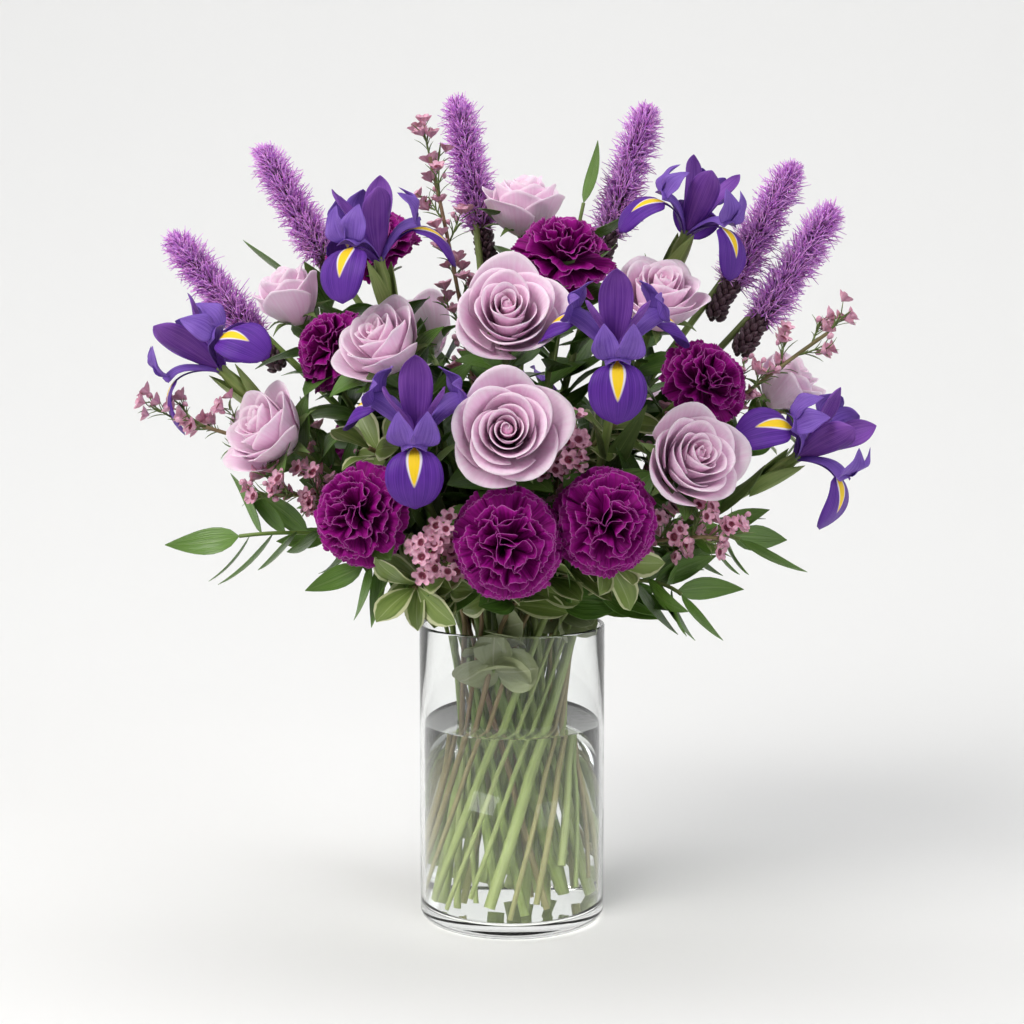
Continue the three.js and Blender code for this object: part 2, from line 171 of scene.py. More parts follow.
def clear_material(name, ior, tint, wave_size, wave_height):
    """Clear glass or water: a smooth shader that transmits, which lets lamplight through to what it holds.

    A slow noise tilts the surface a little, as in pressed glass or still water."""
    made, shader = material(name, Base_Color=tint, Roughness=0.0, IOR=ior, Transmission_Weight=1.0)
    tree = made.node_tree
    place = tree.nodes.new("ShaderNodeTexCoord")
    noise = tree.nodes.new("ShaderNodeTexNoise")
    noise.inputs["Scale"].default_value = wave_size
    noise.inputs["Detail"].default_value = 1.0
    tree.links.new(place.outputs["Object"], noise.inputs["Vector"])
    bump = tree.nodes.new("ShaderNodeBump")
    bump.inputs["Distance"].default_value = wave_height
    tree.links.new(noise.outputs["Fac"], bump.inputs["Height"])
    tree.links.new(bump.outputs["Normal"], shader.inputs["Normal"])
    shadow = tree.nodes.new("ShaderNodeLightPath")
    through = tree.nodes.new("ShaderNodeBsdfTransparent")
    through.inputs["Color"].default_value = (0.99, 0.99, 0.99, 1)
    mix = tree.nodes.new("ShaderNodeMixShader")
    tree.links.new(shadow.outputs["Is Shadow Ray"], mix.inputs["Fac"])
    tree.links.new(shader.outputs["BSDF"], mix.inputs[1])
    tree.links.new(through.outputs["BSDF"], mix.inputs[2])
    tree.links.new(mix.outputs["Shader"], tree.nodes["Material Output"].inputs["Surface"])
    return made


vase_glass.data.materials.append(clear_material("clear_glass", 1.5, (0.985, 0.995, 0.99, 1), 30.0, 0.0001))
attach(vase_glass, "root")
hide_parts("vase")

# ---------------------------------------------------------------------------------------------------------
# The water: clear, filling the vase about two thirds. It follows the glass a hair's breadth inside it, and
# climbs a little where it meets the wall.
# ---------------------------------------------------------------------------------------------------------
WATER_GAP = 0.1
water_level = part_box("water")[1][2] * 1000
water_profile = (
    [(0, VASE_FLOOR - 0.9), (inner_radius - 30, VASE_FLOOR - 0.5)]
    + arc((inner_radius - 5 - WATER_GAP, VASE_FLOOR + 5 + WATER_GAP), 5, -90, 0, 8)
    + [(inner_radius - WATER_GAP, 60), (inner_radius - WATER_GAP, water_level + 1.6)]
    + [(inner_radius - 0.5, water_level + 0.9), (inner_radius - 1.3, water_level + 0.3)]
    + [(inner_radius - 3, water_level), (30, water_level), (0, water_level)]
)
water = make("vase_water", *turned(water_profile, VASE_SIDES))
water.data.materials.append(clear_material("still_water", 1.333, (0.99, 1.0, 0.99, 1), 22.0, 0.00004))
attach(water, "root")
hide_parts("water")

# ---------------------------------------------------------------------------------------------------------
# The stalks. Every stem runs straight from its cut end up through the narrow waist of the bundle to the
# vase's rim, with each ring of stems leaning the other way round from the next, and then curves out to its
# bloom. Roses, carnations, irises and spikes are green; waxflower and the shrubs are brown and woody.
# ---------------------------------------------------------------------------------------------------------
WAIST, TWIST = 122.0, 95.0
RINGS = 8.8 * np.arange(5)
TURNS = (-1) ** np.arange(5)
GOLDEN_ANGLE = 2.39996
STRAIGHT_STEPS, CURVED_STEPS = 8, 26
# Each bloom's middle and radius, which leaves keep clear of, and the stalks' paths, which leaves grow on.
heads = []
paths = {}


def facing(bearing, rise):
    """Columns X, Y, Z of a bloom: Z looks along the bearing and rise in degrees, -Y falls down its front."""
    b, r = np.radians([bearing, rise])
    level = np.array([np.sin(b), -np.cos(b), 0])
    x = np.array([np.cos(b), np.sin(b), 0])
    y = -level * np.sin(r) + np.array([0, 0, 1]) * np.cos(r)
    z = level * np.cos(r) + np.array([0, 0, 1]) * np.sin(r)
    return np.stack([x, y, z], 1)


def bloom_base(node, axes, reach):
    """Where a bloom joins its stalk, and the middle of the stalk's cut end.

    The join is the bloom's furthest point along its facing, less its reach."""
    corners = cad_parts[node].data.vertices
    points = np.empty(len(corners) * 3)
    corners.foreach_get("co", points)
    points = np.unique(np.round(points.reshape(-1, 3) * 1000, 2), axis=0)
    along = points @ axes[:, 2]
    tip = points[along > along.max() - 0.3].mean(0)
    foot = points[points[:, 2] < points[:, 2].min() + 3].mean(0)
    return tip - axes[:, 2] * reach, foot


def stalk_path(foot, end, way):
    """Points up a stalk: a straight line from the foot to the rim, then a cubic curve that arrives along way.

    The line passes a place on one of the bundle's rings at the waist, and leans sideways past it."""
    lean = (foot[2] - WAIST) / TWIST
    ring = np.argmin(abs(np.hypot(foot[0], foot[1]) / math.hypot(1, lean) - RINGS))
    side = TURNS[ring]
    place = (foot[:2] - side * lean * np.array([-foot[1], foot[0]])) / (1 + lean**2)
    lean = side * (VASE_HEIGHT - WAIST) / TWIST
    rim = np.append(place + lean * np.array([-place[1], place[0]]), VASE_HEIGHT)
    up = (rim - foot) / np.linalg.norm(rim - foot)
    reach = np.linalg.norm(end - rim)
    t = np.linspace(0, 1, CURVED_STEPS)[:, None]
    near, far = rim + up * 0.35 * reach, end - way * 0.35 * reach
    curve = (1 - t) ** 3 * rim + 3 * (1 - t) ** 2 * t * near + 3 * (1 - t) * t**2 * far + t**3 * end
    low = foot + (rim - foot) * np.linspace(0, 1, STRAIGHT_STEPS + 1)[:-1, None]
    return np.concatenate([low, curve])


def tube(path, radii, sides=9):
    """Points, faces and UVs of a round rod carried along a path, with closed ends.

    Each ring stands square to the path, on two vectors found by crossing its way with one fixed direction."""
    way = np.gradient(path, axis=0)
    way /= np.linalg.norm(way, axis=1)[:, None]
    first = np.cross(way, [0.31, 0.17, 0.93])
    first /= np.linalg.norm(first, axis=1)[:, None]
    second = np.cross(way, first)
    angle = np.linspace(0, 2 * np.pi, sides, endpoint=False)
    offset = first[:, None] * np.cos(angle)[None, :, None] + second[:, None] * np.sin(angle)[None, :, None]
    rings = path[:, None] + offset * np.asarray(radii)[:, None, None]
    points = np.concatenate([rings.reshape(-1, 3), path[:1], path[-1:]])
    number = np.arange(len(path) * sides).reshape(-1, sides)
    after = np.roll(number, -1, axis=1)
    quads = np.stack([number[:-1], after[:-1], after[1:], number[1:]], -1).reshape(-1, 4)
    first_cap = np.stack([after[0], number[0], np.full(sides, len(points) - 2)], -1)
    last_cap = np.stack([number[-1], after[-1], np.full(sides, len(points) - 1)], -1)
    run = np.concatenate([[0], np.cumsum(np.linalg.norm(np.diff(path, axis=0), axis=1))])
    around = np.broadcast_to(angle / (2 * np.pi), (len(path), sides))
    uv = np.stack([around, np.broadcast_to(run[:, None] / 100, around.shape)], -1).reshape(-1, 2)
    uv = np.concatenate([uv, [[0, 0], [0, run[-1] / 100]]])
    return points, [quads, first_cap, last_cap], uv


def joined(parts):
    """One set of points, faces, UVs and marks out of several, with the face numbers carried on."""
    starts = np.cumsum([0] + [len(p[0]) for p in parts[:-1]])
    faces = {}
    for start, part in zip(starts, parts):
        for group in part[1]:
            faces.setdefault(group.shape[1], []).append(group + start)
    points = np.concatenate([p[0] for p in parts])
    uv = np.concatenate([p[2] for p in parts])
    marks = [np.concatenate([p[k] for p in parts]) for k in range(3, len(parts[0]))]
    return points, [np.concatenate(group) for group in faces.values()], uv, *marks


def plant_grain():
    """The node group of plant surfaces. Streak is fine veining that runs along a piece, Mottle is patches.

    Across and Along are how many veins there are over the piece's UV map, and Patches is the patch scale."""
    group = bpy.data.node_groups.new("plant_grain", "ShaderNodeTree")
    for name, value in (("Across", 30.0), ("Along", 1.5), ("Patches", 90.0)):
        group.interface.new_socket(name, in_out="INPUT", socket_type="NodeSocketFloat").default_value = value
    for name in ("Streak", "Mottle"):
        group.interface.new_socket(name, in_out="OUTPUT", socket_type="NodeSocketFloat")
    given, result = group.nodes.new("NodeGroupInput"), group.nodes.new("NodeGroupOutput")
    place, scale = group.nodes.new("ShaderNodeTexCoord"), group.nodes.new("ShaderNodeCombineXYZ")
    group.links.new(given.outputs["Across"], scale.inputs["X"])
    group.links.new(given.outputs["Along"], scale.inputs["Y"])
    stretch = group.nodes.new("ShaderNodeVectorMath")
    stretch.operation = "MULTIPLY"
    group.links.new(place.outputs["UV"], stretch.inputs[0])
    group.links.new(scale.outputs["Vector"], stretch.inputs[1])
    for name, vector in (("Streak", stretch.outputs["Vector"]), ("Mottle", place.outputs["Object"])):
        noise = group.nodes.new("ShaderNodeTexNoise")
        noise.inputs["Scale"].default_value = 1.0
        noise.inputs["Detail"].default_value = 2.0
        group.links.new(vector, noise.inputs["Vector"])
        if name == "Mottle":
            group.links.new(given.outputs["Patches"], noise.inputs["Scale"])
        spread = group.nodes.new("ShaderNodeMapRange")
        spread.inputs["From Min"].default_value = 0.32
        spread.inputs["From Max"].default_value = 0.68
        group.links.new(noise.outputs["Fac"], spread.inputs["Value"])
        group.links.new(spread.outputs["Result"], result.inputs[name])
    return group


GRAIN = plant_grain()


def mixed(tree, share, first, second):
    """A colour between two, by a share. Each is a plain colour, a number or another node's output."""
    node = tree.nodes.new("ShaderNodeMix")
    node.data_type = "RGBA"
    for socket, value in ((node.inputs[0], share), (node.inputs[6], first), (node.inputs[7], second)):
        if isinstance(value, bpy.types.NodeSocket):
            tree.links.new(value, socket)
        else:
            socket.default_value = value
    return node.outputs[2]


def ranged(tree, value, low, high, start=0.0, end=1.0):
    """A value spread from low and high to start and end, and held there beyond them."""
    node = tree.nodes.new("ShaderNodeMapRange")
    for socket, number in zip(node.inputs[1:5], (low, high, start, end)):
        socket.default_value = number
    tree.links.new(value, node.inputs["Value"])
    return node.outputs["Result"]


def mark_of(tree, name):
    """The value of a piece's own mark."""
    node = tree.nodes.new("ShaderNodeAttribute")
    node.attribute_name = name
    return node.outputs["Fac"]


def place_on(tree):
    """A node whose X and Y are the place across and along a piece, from its own UV map."""
    place = tree.nodes.new("ShaderNodeSeparateXYZ")
    tree.links.new(tree.nodes.new("ShaderNodeUVMap").outputs["UV"], place.inputs["Vector"])
    return place


def plant_material(name, dark, light, across, along, patches, rough, relief=0.0001, **values):
    """A plant's skin: its colour goes from dark to light by its veins and patches, and its veins are raised.

    Returns the material, its shader, the colour's output and the grain's node, for a piece to add to."""
    made, shader = material(name, Roughness=rough, **values)
    tree = made.node_tree
    grain = tree.nodes.new("ShaderNodeGroup")
    grain.node_tree = GRAIN
    for socket, value in (("Across", across), ("Along", along), ("Patches", patches)):
        grain.inputs[socket].default_value = value
    veins = ranged(tree, grain.outputs["Streak"], 0.0, 1.0, 0.0, 0.75)
    colour = mixed(tree, veins, dark, light)
    colour = mixed(tree, ranged(tree, grain.outputs["Mottle"], 0.0, 1.0, 0.0, 0.35), colour, light)
    tree.links.new(colour, shader.inputs["Base Color"])
    bump = tree.nodes.new("ShaderNodeBump")
    bump.inputs["Distance"].default_value = relief
    tree.links.new(grain.outputs["Streak"], bump.inputs["Height"])
    tree.links.new(bump.outputs["Normal"], shader.inputs["Normal"])
    return made, shader, colour, grain


def stalks(name, stems, look, joints=0.0):
    """One mesh of like stalks. Each stem gives its way, its upper end, its foot, its radius and its shade.

    The radius narrows towards the bloom, and swells a little at joints that many millimetres apart."""
    parts = []
    paths[name] = []
    for way, end, foot, radius, shade in stems:
        path = stalk_path(foot, end, way)
        paths[name].append(path)
        run = np.concatenate([[0], np.cumsum(np.linalg.norm(np.diff(path, axis=0), axis=1))])
        if joints:
            fine = np.arange(0, run[-1], 2.5)
            path = np.stack([np.interp(fine, run, path[:, k]) for k in range(3)], -1)
            run = fine
        swell = 1 + (0.22 * np.exp(-((((run + 20 * shade) % joints) - joints / 2) ** 2) / 9) if joints else 0)
        radii = radius * (1.04 - 0.25 * run / run[-1]) * swell
        points, faces, uv = tube(path, radii)
        parts.append((points, faces, uv, np.full(len(points), shade)))
    points, faces, uv, shade = joined(parts)
    piece = make(name, points, faces, uv, 60, shade=shade)
    piece.data.materials.append(look)
    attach(piece, "root")


def stalk_skin(name, dark, light, old, patches=120.0, rough=0.45):
    """A stalk's skin: streaked along, a little different on each stalk, and yellower near its foot."""
    made, shader, colour = plant_material(name, dark, light, 14.0, 3.0, patches, rough, 0.0002)[:3]
    tree = made.node_tree
    colour = mixed(tree, ranged(tree, mark_of(tree, "shade"), 0.0, 1.0, 0.0, 0.6), colour, old)
    place = tree.nodes.new("ShaderNodeTexCoord")
    height = tree.nodes.new("ShaderNodeSeparateXYZ")
    tree.links.new(place.outputs["Object"], height.inputs["Vector"])
    low = ranged(tree, height.outputs["Z"], 0.15, 0.02, 0.0, 0.35)
    colour = mixed(tree, low, colour, (0.50, 0.58, 0.20, 1))
    tree.links.new(colour, shader.inputs["Base Color"])
    return made


green_stalk = stalk_skin("green_stalk", (0.10, 0.17, 0.03, 1), (0.27, 0.38, 0.09, 1), (0.30, 0.34, 0.14, 1))

# ---------------------------------------------------------------------------------------------------------
# Skins: a petal or a leaf is a thin closed sheet. It is worked out as a grid of points across and along, and
# given its thickness, with its edge closed all round.
# ---------------------------------------------------------------------------------------------------------


def skin(grid, thickness, shade=None):
    """Points, faces, UVs and a shade per sheet, for sheets given as (sheets, across, along, 3).

    The sheet is set half its thickness either way along its normals, thinner at its edges, and a strip of
    faces closes the two sides."""
    count, wide, long = grid.shape[:3]
    normal = np.cross(np.gradient(grid, axis=1), np.gradient(grid, axis=2))
    normal /= np.linalg.norm(normal, axis=-1, keepdims=True) + 1e-9
    u, v = np.linspace(0, 1, wide), np.linspace(0, 1, long)
    edge = np.minimum.outer(np.minimum(u, 1 - u), np.minimum(v, 1 - v))
    half = thickness * (0.22 + 0.28 * np.clip(edge / 0.12, 0, 1))[None, :, :, None]
    points = np.stack([grid + normal * half, grid - normal * half], 1)
    number = np.arange(2 * wide * long).reshape(2, wide, long)

    def squares(sheet):
        return np.stack([sheet[:-1, :-1], sheet[1:, :-1], sheet[1:, 1:], sheet[:-1, 1:]], -1).reshape(-1, 4)

    top, under = number
    round_top = np.concatenate([top[:, 0], top[-1, 1:], top[-2::-1, -1], top[0, -2:0:-1]])
    round_under = np.concatenate([under[:, 0], under[-1, 1:], under[-2::-1, -1], under[0, -2:0:-1]])
    rim = np.stack([round_top, round_under, np.roll(round_under, -1), np.roll(round_top, -1)], -1)
    one = np.concatenate([squares(top), squares(under)[:, ::-1], rim])
    faces = (one[None] + np.arange(count)[:, None, None] * 2 * wide * long).reshape(-1, 4)
    uv = np.stack(np.meshgrid(u, v, indexing="ij"), -1)
    uv = np.broadcast_to(uv, (count, 2, wide, long, 2)).reshape(-1, 2)
    shade = np.linspace(0, 1, count) if shade is None else shade
    return points.reshape(-1, 3), [faces], uv, np.repeat(shade, 2 * wide * long)


def blades(start, along, face, length, half, bow, fold, outline, across=7, steps=9, wave=0.0, seed=0):
    """Grids of leaves. Each lies along its own way with its face towards another, bowed and folded.

    The half width follows the outline from 0 at the stalk to 1 at the tip; the spine rises by bow at its
    middle; the sides lift by fold; and a slow wave ripples the edge."""
    x = along / np.linalg.norm(along, axis=1)[:, None]
    y = np.cross(face, x)
    y /= np.linalg.norm(y, axis=1)[:, None]
    z = np.cross(x, y)
    u, v = np.meshgrid(np.linspace(-1, 1, across), np.linspace(0, 1, steps), indexing="ij")
    each = (length, half, bow, fold)
    length, half, bow, fold = (np.broadcast_to(k, len(start))[:, None, None] for k in each)
    phase = np.random.default_rng(seed).uniform(0, 6.28, (len(start), 1, 1))
    sideways = u * outline(v) * half
    lift = bow * 4 * v * (1 - v) + fold * abs(u) ** 1.6 * outline(v) * half
    lift = lift + wave * np.sin(9 * v + 2.5 * u + phase) * abs(u) * outline(v)
    run = v * length
    x, y, z = (k[:, None, None, :] for k in (x, y, z))
    return start[:, None, None, :] + run[..., None] * x + sideways[..., None] * y + lift[..., None] * z


# ---------------------------------------------------------------------------------------------------------
# The roses: lavender garden roses, each a tight spiral of velvety petals that open wider and roll back
# their paler lips towards the outside, in a green cup of five sepals on its own stalk.
# ---------------------------------------------------------------------------------------------------------
ROSES = {
    "rose_1": (-60, 62, 0.85, 0.35),
    "rose_2": (-35, 42, 0.92, 0.75),
    "rose_3": (-48, 30, 0.92, 0.7),
    "rose_4": (0, 75, 0.90, 0.8),
    "rose_5": (0, 25, 1.00, 1.0),
    "rose_6": (0, 12, 1.02, 1.0),
    "rose_7": (15, 50, 0.92, 0.85),
    "rose_8": (22, 22, 0.96, 0.95),
    "rose_9": (65, 50, 0.82, 0.4),
    "rose_10": (-145, 35, 0.95, 0.8),
    "rose_11": (145, 25, 1.00, 0.9),
}


def rose_petals(count, opened, seed):
    """Grids of a rose's petals, Z out of its heart. t runs from 0 in the heart to 1 outside.

    Each petal is a patch of a cup: its radius swells quickly from the base and, in the heart, closes again
    at the lip; one side lies further out than the other, which makes the spiral; and the outer lips flare
    and roll back, most at their shoulders, which leaves a soft point in the middle."""
    rng = np.random.default_rng(seed)
    t = np.linspace(0, 1, count)[:, None, None]
    u = np.linspace(-1, 1, 19)[None, :, None]
    v = np.linspace(0, 1, 15)[None, None, :]
    turn = np.radians(137.5) * np.arange(count)[:, None, None] + rng.normal(0, 0.15, (count, 1, 1))
    lip_line = 1 - (0.16 + 0.2 * t) * abs(u) ** 1.9 + 0.06 * t * np.exp(-((u / 0.22) ** 2))
    v = v * lip_line
    wide = (2.4 - 1.45 * t**0.5) * (0.40 + 0.60 * np.sin(np.pi / 2 * np.minimum(1, 1.7 * v)))
    cup = 2.2 + (19.0 + 7.5 * opened) * t**1.1 * rng.uniform(0.95, 1.05, (count, 1, 1))
    radius = cup * (0.22 + 0.78 * np.sin(np.pi / 2 * np.minimum(1, v * 1.3)))
    radius = radius * (1 - (0.5 - 0.5 * np.minimum(1, t * 1.7)) * v**2)
    lip = 43 + 4 * np.sin(np.pi * np.minimum(1, t * 1.15)) - (3 + 6 * opened) * t
    lip = lip + rng.normal(0, 1.0, (count, 1, 1))
    height = 2 + (lip - 2) * v**1.2
    lean = np.clip((v - 0.45) / 0.55, 0, 1) ** 1.8 * np.clip(t / 0.12, 0, 1)
    flare = 3.4 * lean + (1.0 + 4.0 * opened) * t**2 * v**2.5
    roll = np.clip((v - 0.76) / 0.24, 0, 1.2) ** 2
    curl = (2.0 + 5.0 * opened) * np.clip((t - 0.25) / 0.75, 0, 1) ** 1.2 * (0.25 + 0.75 * abs(u) ** 1.3)
    curl = curl * rng.uniform(0.7, 1.3, (count, 1, 1))
    radius = radius + flare + roll * curl + (1.4 + 2.0 * t) * u * (0.25 + 0.75 * v)
    height = height - roll**1.4 * curl * 0.9
    ripple = rng.uniform(0, 6.28, (count, 1, 1))
    radius = radius + 0.8 * np.sin(2.6 * u + ripple) * v**2 * (0.3 + t)
    height = height + 0.9 * np.sin(2.3 * u + 2 * ripple) * v**3 * (0.3 + t)
    angle = turn + wide * u
    return np.stack([radius * np.cos(angle), radius * np.sin(angle), height + 0 * angle], -1)


rose_skin, rose_shader, rose_colour = plant_material(
    "rose_petal", (0.93, 0.58, 0.80, 1), (0.98, 0.75, 0.91, 1), 26.0, 1.2, 70.0, 0.55, 0.00010,
    Subsurface_Weight=0.45, Subsurface_Radius=(1.0, 0.6, 0.85), Subsurface_Scale=0.007,
    Specular_IOR_Level=0.25,
)[:3]
rose_tree = rose_skin.node_tree
rose_place = place_on(rose_tree)
rose_heart = ranged(rose_tree, mark_of(rose_tree, "shade"), 0.6, 0.0, 0.0, 0.7)
rose_colour = mixed(rose_tree, rose_heart, rose_colour, (0.86, 0.45, 0.66, 1))
rose_lip = ranged(rose_tree, rose_place.outputs["Y"], 0.86, 1.0, 0.0, 0.55)
rose_colour = mixed(rose_tree, rose_lip, rose_colour, (0.96, 0.76, 0.89, 1))
rose_claw = ranged(rose_tree, rose_place.outputs["Y"], 0.35, 0.0, 0.0, 0.5)
rose_colour = mixed(rose_tree, rose_claw, rose_colour, (0.74, 0.52, 0.48, 1))
rose_tree.links.new(rose_colour, rose_shader.inputs["Base Color"])

sepal_skin = plant_material(
    "sepal", (0.07, 0.13, 0.025, 1), (0.20, 0.30, 0.08, 1), 9.0, 1.0, 110.0, 0.5, 0.0002
)[0]


def pointed(v):
    """The outline of a narrow leaf: full a third of the way along, then drawn out to a point."""
    return np.sin(np.pi * v**0.8) ** 0.9 * (1 - 0.15 * v) + 0.02


def around_bloom(grid, axes, base, size):
    """A bloom's points turned to its facing and set on its base."""
    return (grid * size) @ axes.T + base


rose_stalks, rose_cups = [], []
for number, (node, (bearing, rise, size, opened)) in enumerate(ROSES.items()):
    axes = facing(bearing, rise)
    base, foot = bloom_base(node, axes, 59 * size)
    petals = around_bloom(rose_petals(17 + round(5 * opened), opened, number), axes, base, size)
    core = turned([(0, 8), (3.5, 12), (4.6, 28), (3.0, 38), (0, 41)], 12)
    core_uv = np.full((len(core[0]), 2), 0.6)
    core = (around_bloom(core[0], axes, base, size), core[1], core_uv, np.zeros(len(core[0])))
    points, faces, uv, shade = joined([skin(petals, 0.8), core])
    piece = make(node + "_petals", points, faces, uv, shade=shade)
    piece.data.materials.append(rose_skin)
    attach(piece, "root")
    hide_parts(node)
    heads.append((base + axes[:, 2] * 34 * size, 33 * size))
    rose_stalks.append((axes[:, 2], base, foot, 2.7, (number * 0.37) % 1))
    hip = turned([(0, -4), (2.6, -3.5), (4.5, 0), (6.4, 3), (7.5, 6), (5, 8), (0, 9)], 16)
    hip_uv = np.stack([hip[0][:, 0] / 20 + 0.5, hip[0][:, 2] / 20 + 0.5], -1)
    rose_cups.append((around_bloom(hip[0], axes, base, size), hip[1], hip_uv, np.full(len(hip[0]), 0.5)))
    turn = np.radians(72 * np.arange(5) + 31 * number)
    out = np.stack([np.cos(turn), np.sin(turn), np.full(5, 0.15)], -1)
    rim = np.stack([5.5 * np.cos(turn), 5.5 * np.sin(turn), np.full(5, 2.0)], -1)
    up = np.stack([-0.2 * np.cos(turn), -0.2 * np.sin(turn), np.ones(5)], -1)
    sepals = blades(rim, out, up, 27.0, 4.2, 5.0, 0.25, pointed, wave=1.0, seed=number)
    rose_cups.append(skin(around_bloom(sepals, axes, base, size), 0.7, np.full(5, 0.5)))
points, faces, uv, shade = joined(rose_cups)
rose_sepals = make("rose_sepals", points, faces, uv, 60, shade=shade)
rose_sepals.data.materials.append(sepal_skin)
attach(rose_sepals, "root")
stalks("rose_stalks", rose_stalks, green_stalk)

# ---------------------------------------------------------------------------------------------------------
# The carnations: round purple heads of many thin fan-shaped petals, folded and frilled, with a fine paler
# edge cut into teeth. They burst out of a slim green calyx on a smooth jointed stalk.
# ---------------------------------------------------------------------------------------------------------
CARNATIONS = {
    "carnation_1": (-30, 55, 0.95),
    "carnation_2": (10, 65, 1.02),
    "carnation_3": (-55, 30, 0.85),
    "carnation_4": (-30, 10, 0.93),
    "carnation_5": (0, -5, 1.02),
    "carnation_6": (10, 2, 0.98),
    "carnation_7": (35, 25, 0.90),
    "carnation_8": (-125, 20, 0.95),
    "carnation_9": (170, 50, 1.00),
}


def carnation_petals(count, seed):
    """Grids of a carnation's petals, Z out of its heart. t runs from 0 in the heart to 1 outside.

    Each petal leaves the calyx's mouth along its own way, which leans from upright in the heart to level
    outside, and widens like a fan. The heart's petals are narrow and crumpled, and the outer ones broad and
    pleated along; the edge of each is cut into small teeth."""
    rng = np.random.default_rng(seed)
    t = (np.arange(count) / (count - 1))[:, None, None]
    u = np.linspace(-1, 1, 33)[None, :, None]
    v = np.linspace(0, 1, 10)[None, None, :]
    turn = GOLDEN_ANGLE * np.arange(count)[:, None, None] + rng.normal(0, 0.2, (count, 1, 1))
    lean = np.radians(6 + 86 * t**0.7) + rng.normal(0, 0.09, (count, 1, 1))
    length = (31 + 3.5 * t) * rng.uniform(0.93, 1.05, (count, 1, 1))
    teeth = 0.045 * abs((7.5 * u + rng.uniform(0, 1, (count, 1, 1))) % 1 - 0.5) * 2
    run = v * length * (1 - 0.14 * abs(u) ** 2.5 - teeth * v**6)
    across = (11.5 + 9.5 * t) * np.sin(0.95 * u) / np.sin(0.95) * (0.13 + 0.87 * v**1.1)
    phase = rng.uniform(0, 6.28, (count, 1, 1))
    crumple = 4.6 * (1 - t) ** 0.7
    pleats = np.sin((9 + 3 * np.sin(phase)) * u + phase) + 0.4 * np.sin(17 * u + 2 * phase)
    folds = np.sin(4.2 * u + 3 * v + phase)
    lift = ((1.0 + 0.9 * t) * pleats + crumple * folds) * v**1.6 + (6.5 * v - 4.0 * v**2) - 6.0 * t * v**3
    across = across + 1.4 * np.cos(8 * u + phase) * v**2
    x = run * np.sin(lean) - lift * np.cos(lean)
    z = run * np.cos(lean) + lift * np.sin(lean)
    x, y = x * np.cos(turn) - across * np.sin(turn), x * np.sin(turn) + across * np.cos(turn)
    return np.stack([x, y, 23 + z], -1)


carnation_skin, carnation_shader, carnation_colour = plant_material(
    "carnation_petal", (0.13, 0.001, 0.085, 1), (0.36, 0.004, 0.27, 1), 34.0, 1.4, 90.0, 0.55, 0.00015,
    Subsurface_Weight=0.1, Subsurface_Radius=(1.0, 0.2, 0.8), Subsurface_Scale=0.0015,
    Specular_IOR_Level=0.12,
)[:3]
carnation_tree = carnation_skin.node_tree
carnation_edge = ranged(carnation_tree, place_on(carnation_tree).outputs["Y"], 0.975, 1.0, 0.0, 0.4)
carnation_colour = mixed(carnation_tree, carnation_edge, carnation_colour, (0.62, 0.24, 0.55, 1))
carnation_tree.links.new(carnation_colour, carnation_shader.inputs["Base Color"])

calyx_skin = plant_material(
    "calyx", (0.12, 0.20, 0.06, 1), (0.26, 0.36, 0.14, 1), 12.0, 1.0, 100.0, 0.5, 0.0002
)[0]
CALYX = [(0, -1), (3, -0.5), (5, 2), (6.1, 8), (6.4, 18), (7.2, 25), (8.6, 30), (7.4, 29), (5.6, 24), (0, 22)]
carnation_stalks, calyxes = [], []
for number, (node, (bearing, rise, size)) in enumerate(CARNATIONS.items()):
    axes = facing(bearing, rise)
    base, foot = bloom_base(node, axes, 58 * size)
    points, faces, uv, shade = skin(around_bloom(carnation_petals(38, 40 + number), axes, base, size), 0.4)
    piece = make(node + "_petals", points, faces, uv, shade=shade)
    piece.data.materials.append(carnation_skin)
    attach(piece, "root")
    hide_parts(node)
    heads.append((base + axes[:, 2] * 44 * size, 31 * size))
    carnation_stalks.append((axes[:, 2], base, foot, 2.3, (number * 0.41) % 1))
    cup = turned(CALYX, 20)
    cup_uv = np.stack([np.arctan2(cup[0][:, 1], cup[0][:, 0]) / 6.28 + 0.5, cup[0][:, 2] / 30], -1)
    calyxes.append((around_bloom(cup[0], axes, base, size), cup[1], cup_uv, np.full(len(cup[0]), 0.5)))
points, faces, uv, shade = joined(calyxes)
carnation_cups = make("carnation_calyxes", points, faces, uv, 50, shade=shade)
carnation_cups.data.materials.append(calyx_skin)
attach(carnation_cups, "root")
stalks("carnation_stalks", carnation_stalks, green_stalk, joints=70.0)

# ---------------------------------------------------------------------------------------------------------
# The irises: blue-violet florist's irises. Three falls arch out and hang down, each with a yellow signal
# edged in white; over each lies a paler style arm with two crests; and three standards rise between them.
# They open from a green spathe on a stout stalk.
# ---------------------------------------------------------------------------------------------------------
IRISES = {
    "iris_1": (-30, 70, 1.00),
    "iris_2": (-75, 45, 1.00),
    "iris_3": (0, 48, 1.00),
    "iris_4": (0, 48, 1.00),
    "iris_5": (50, 62, 0.95),
    "iris_6": (55, 35, 1.00),
    "iris_7": (180, 40, 1.00),
}


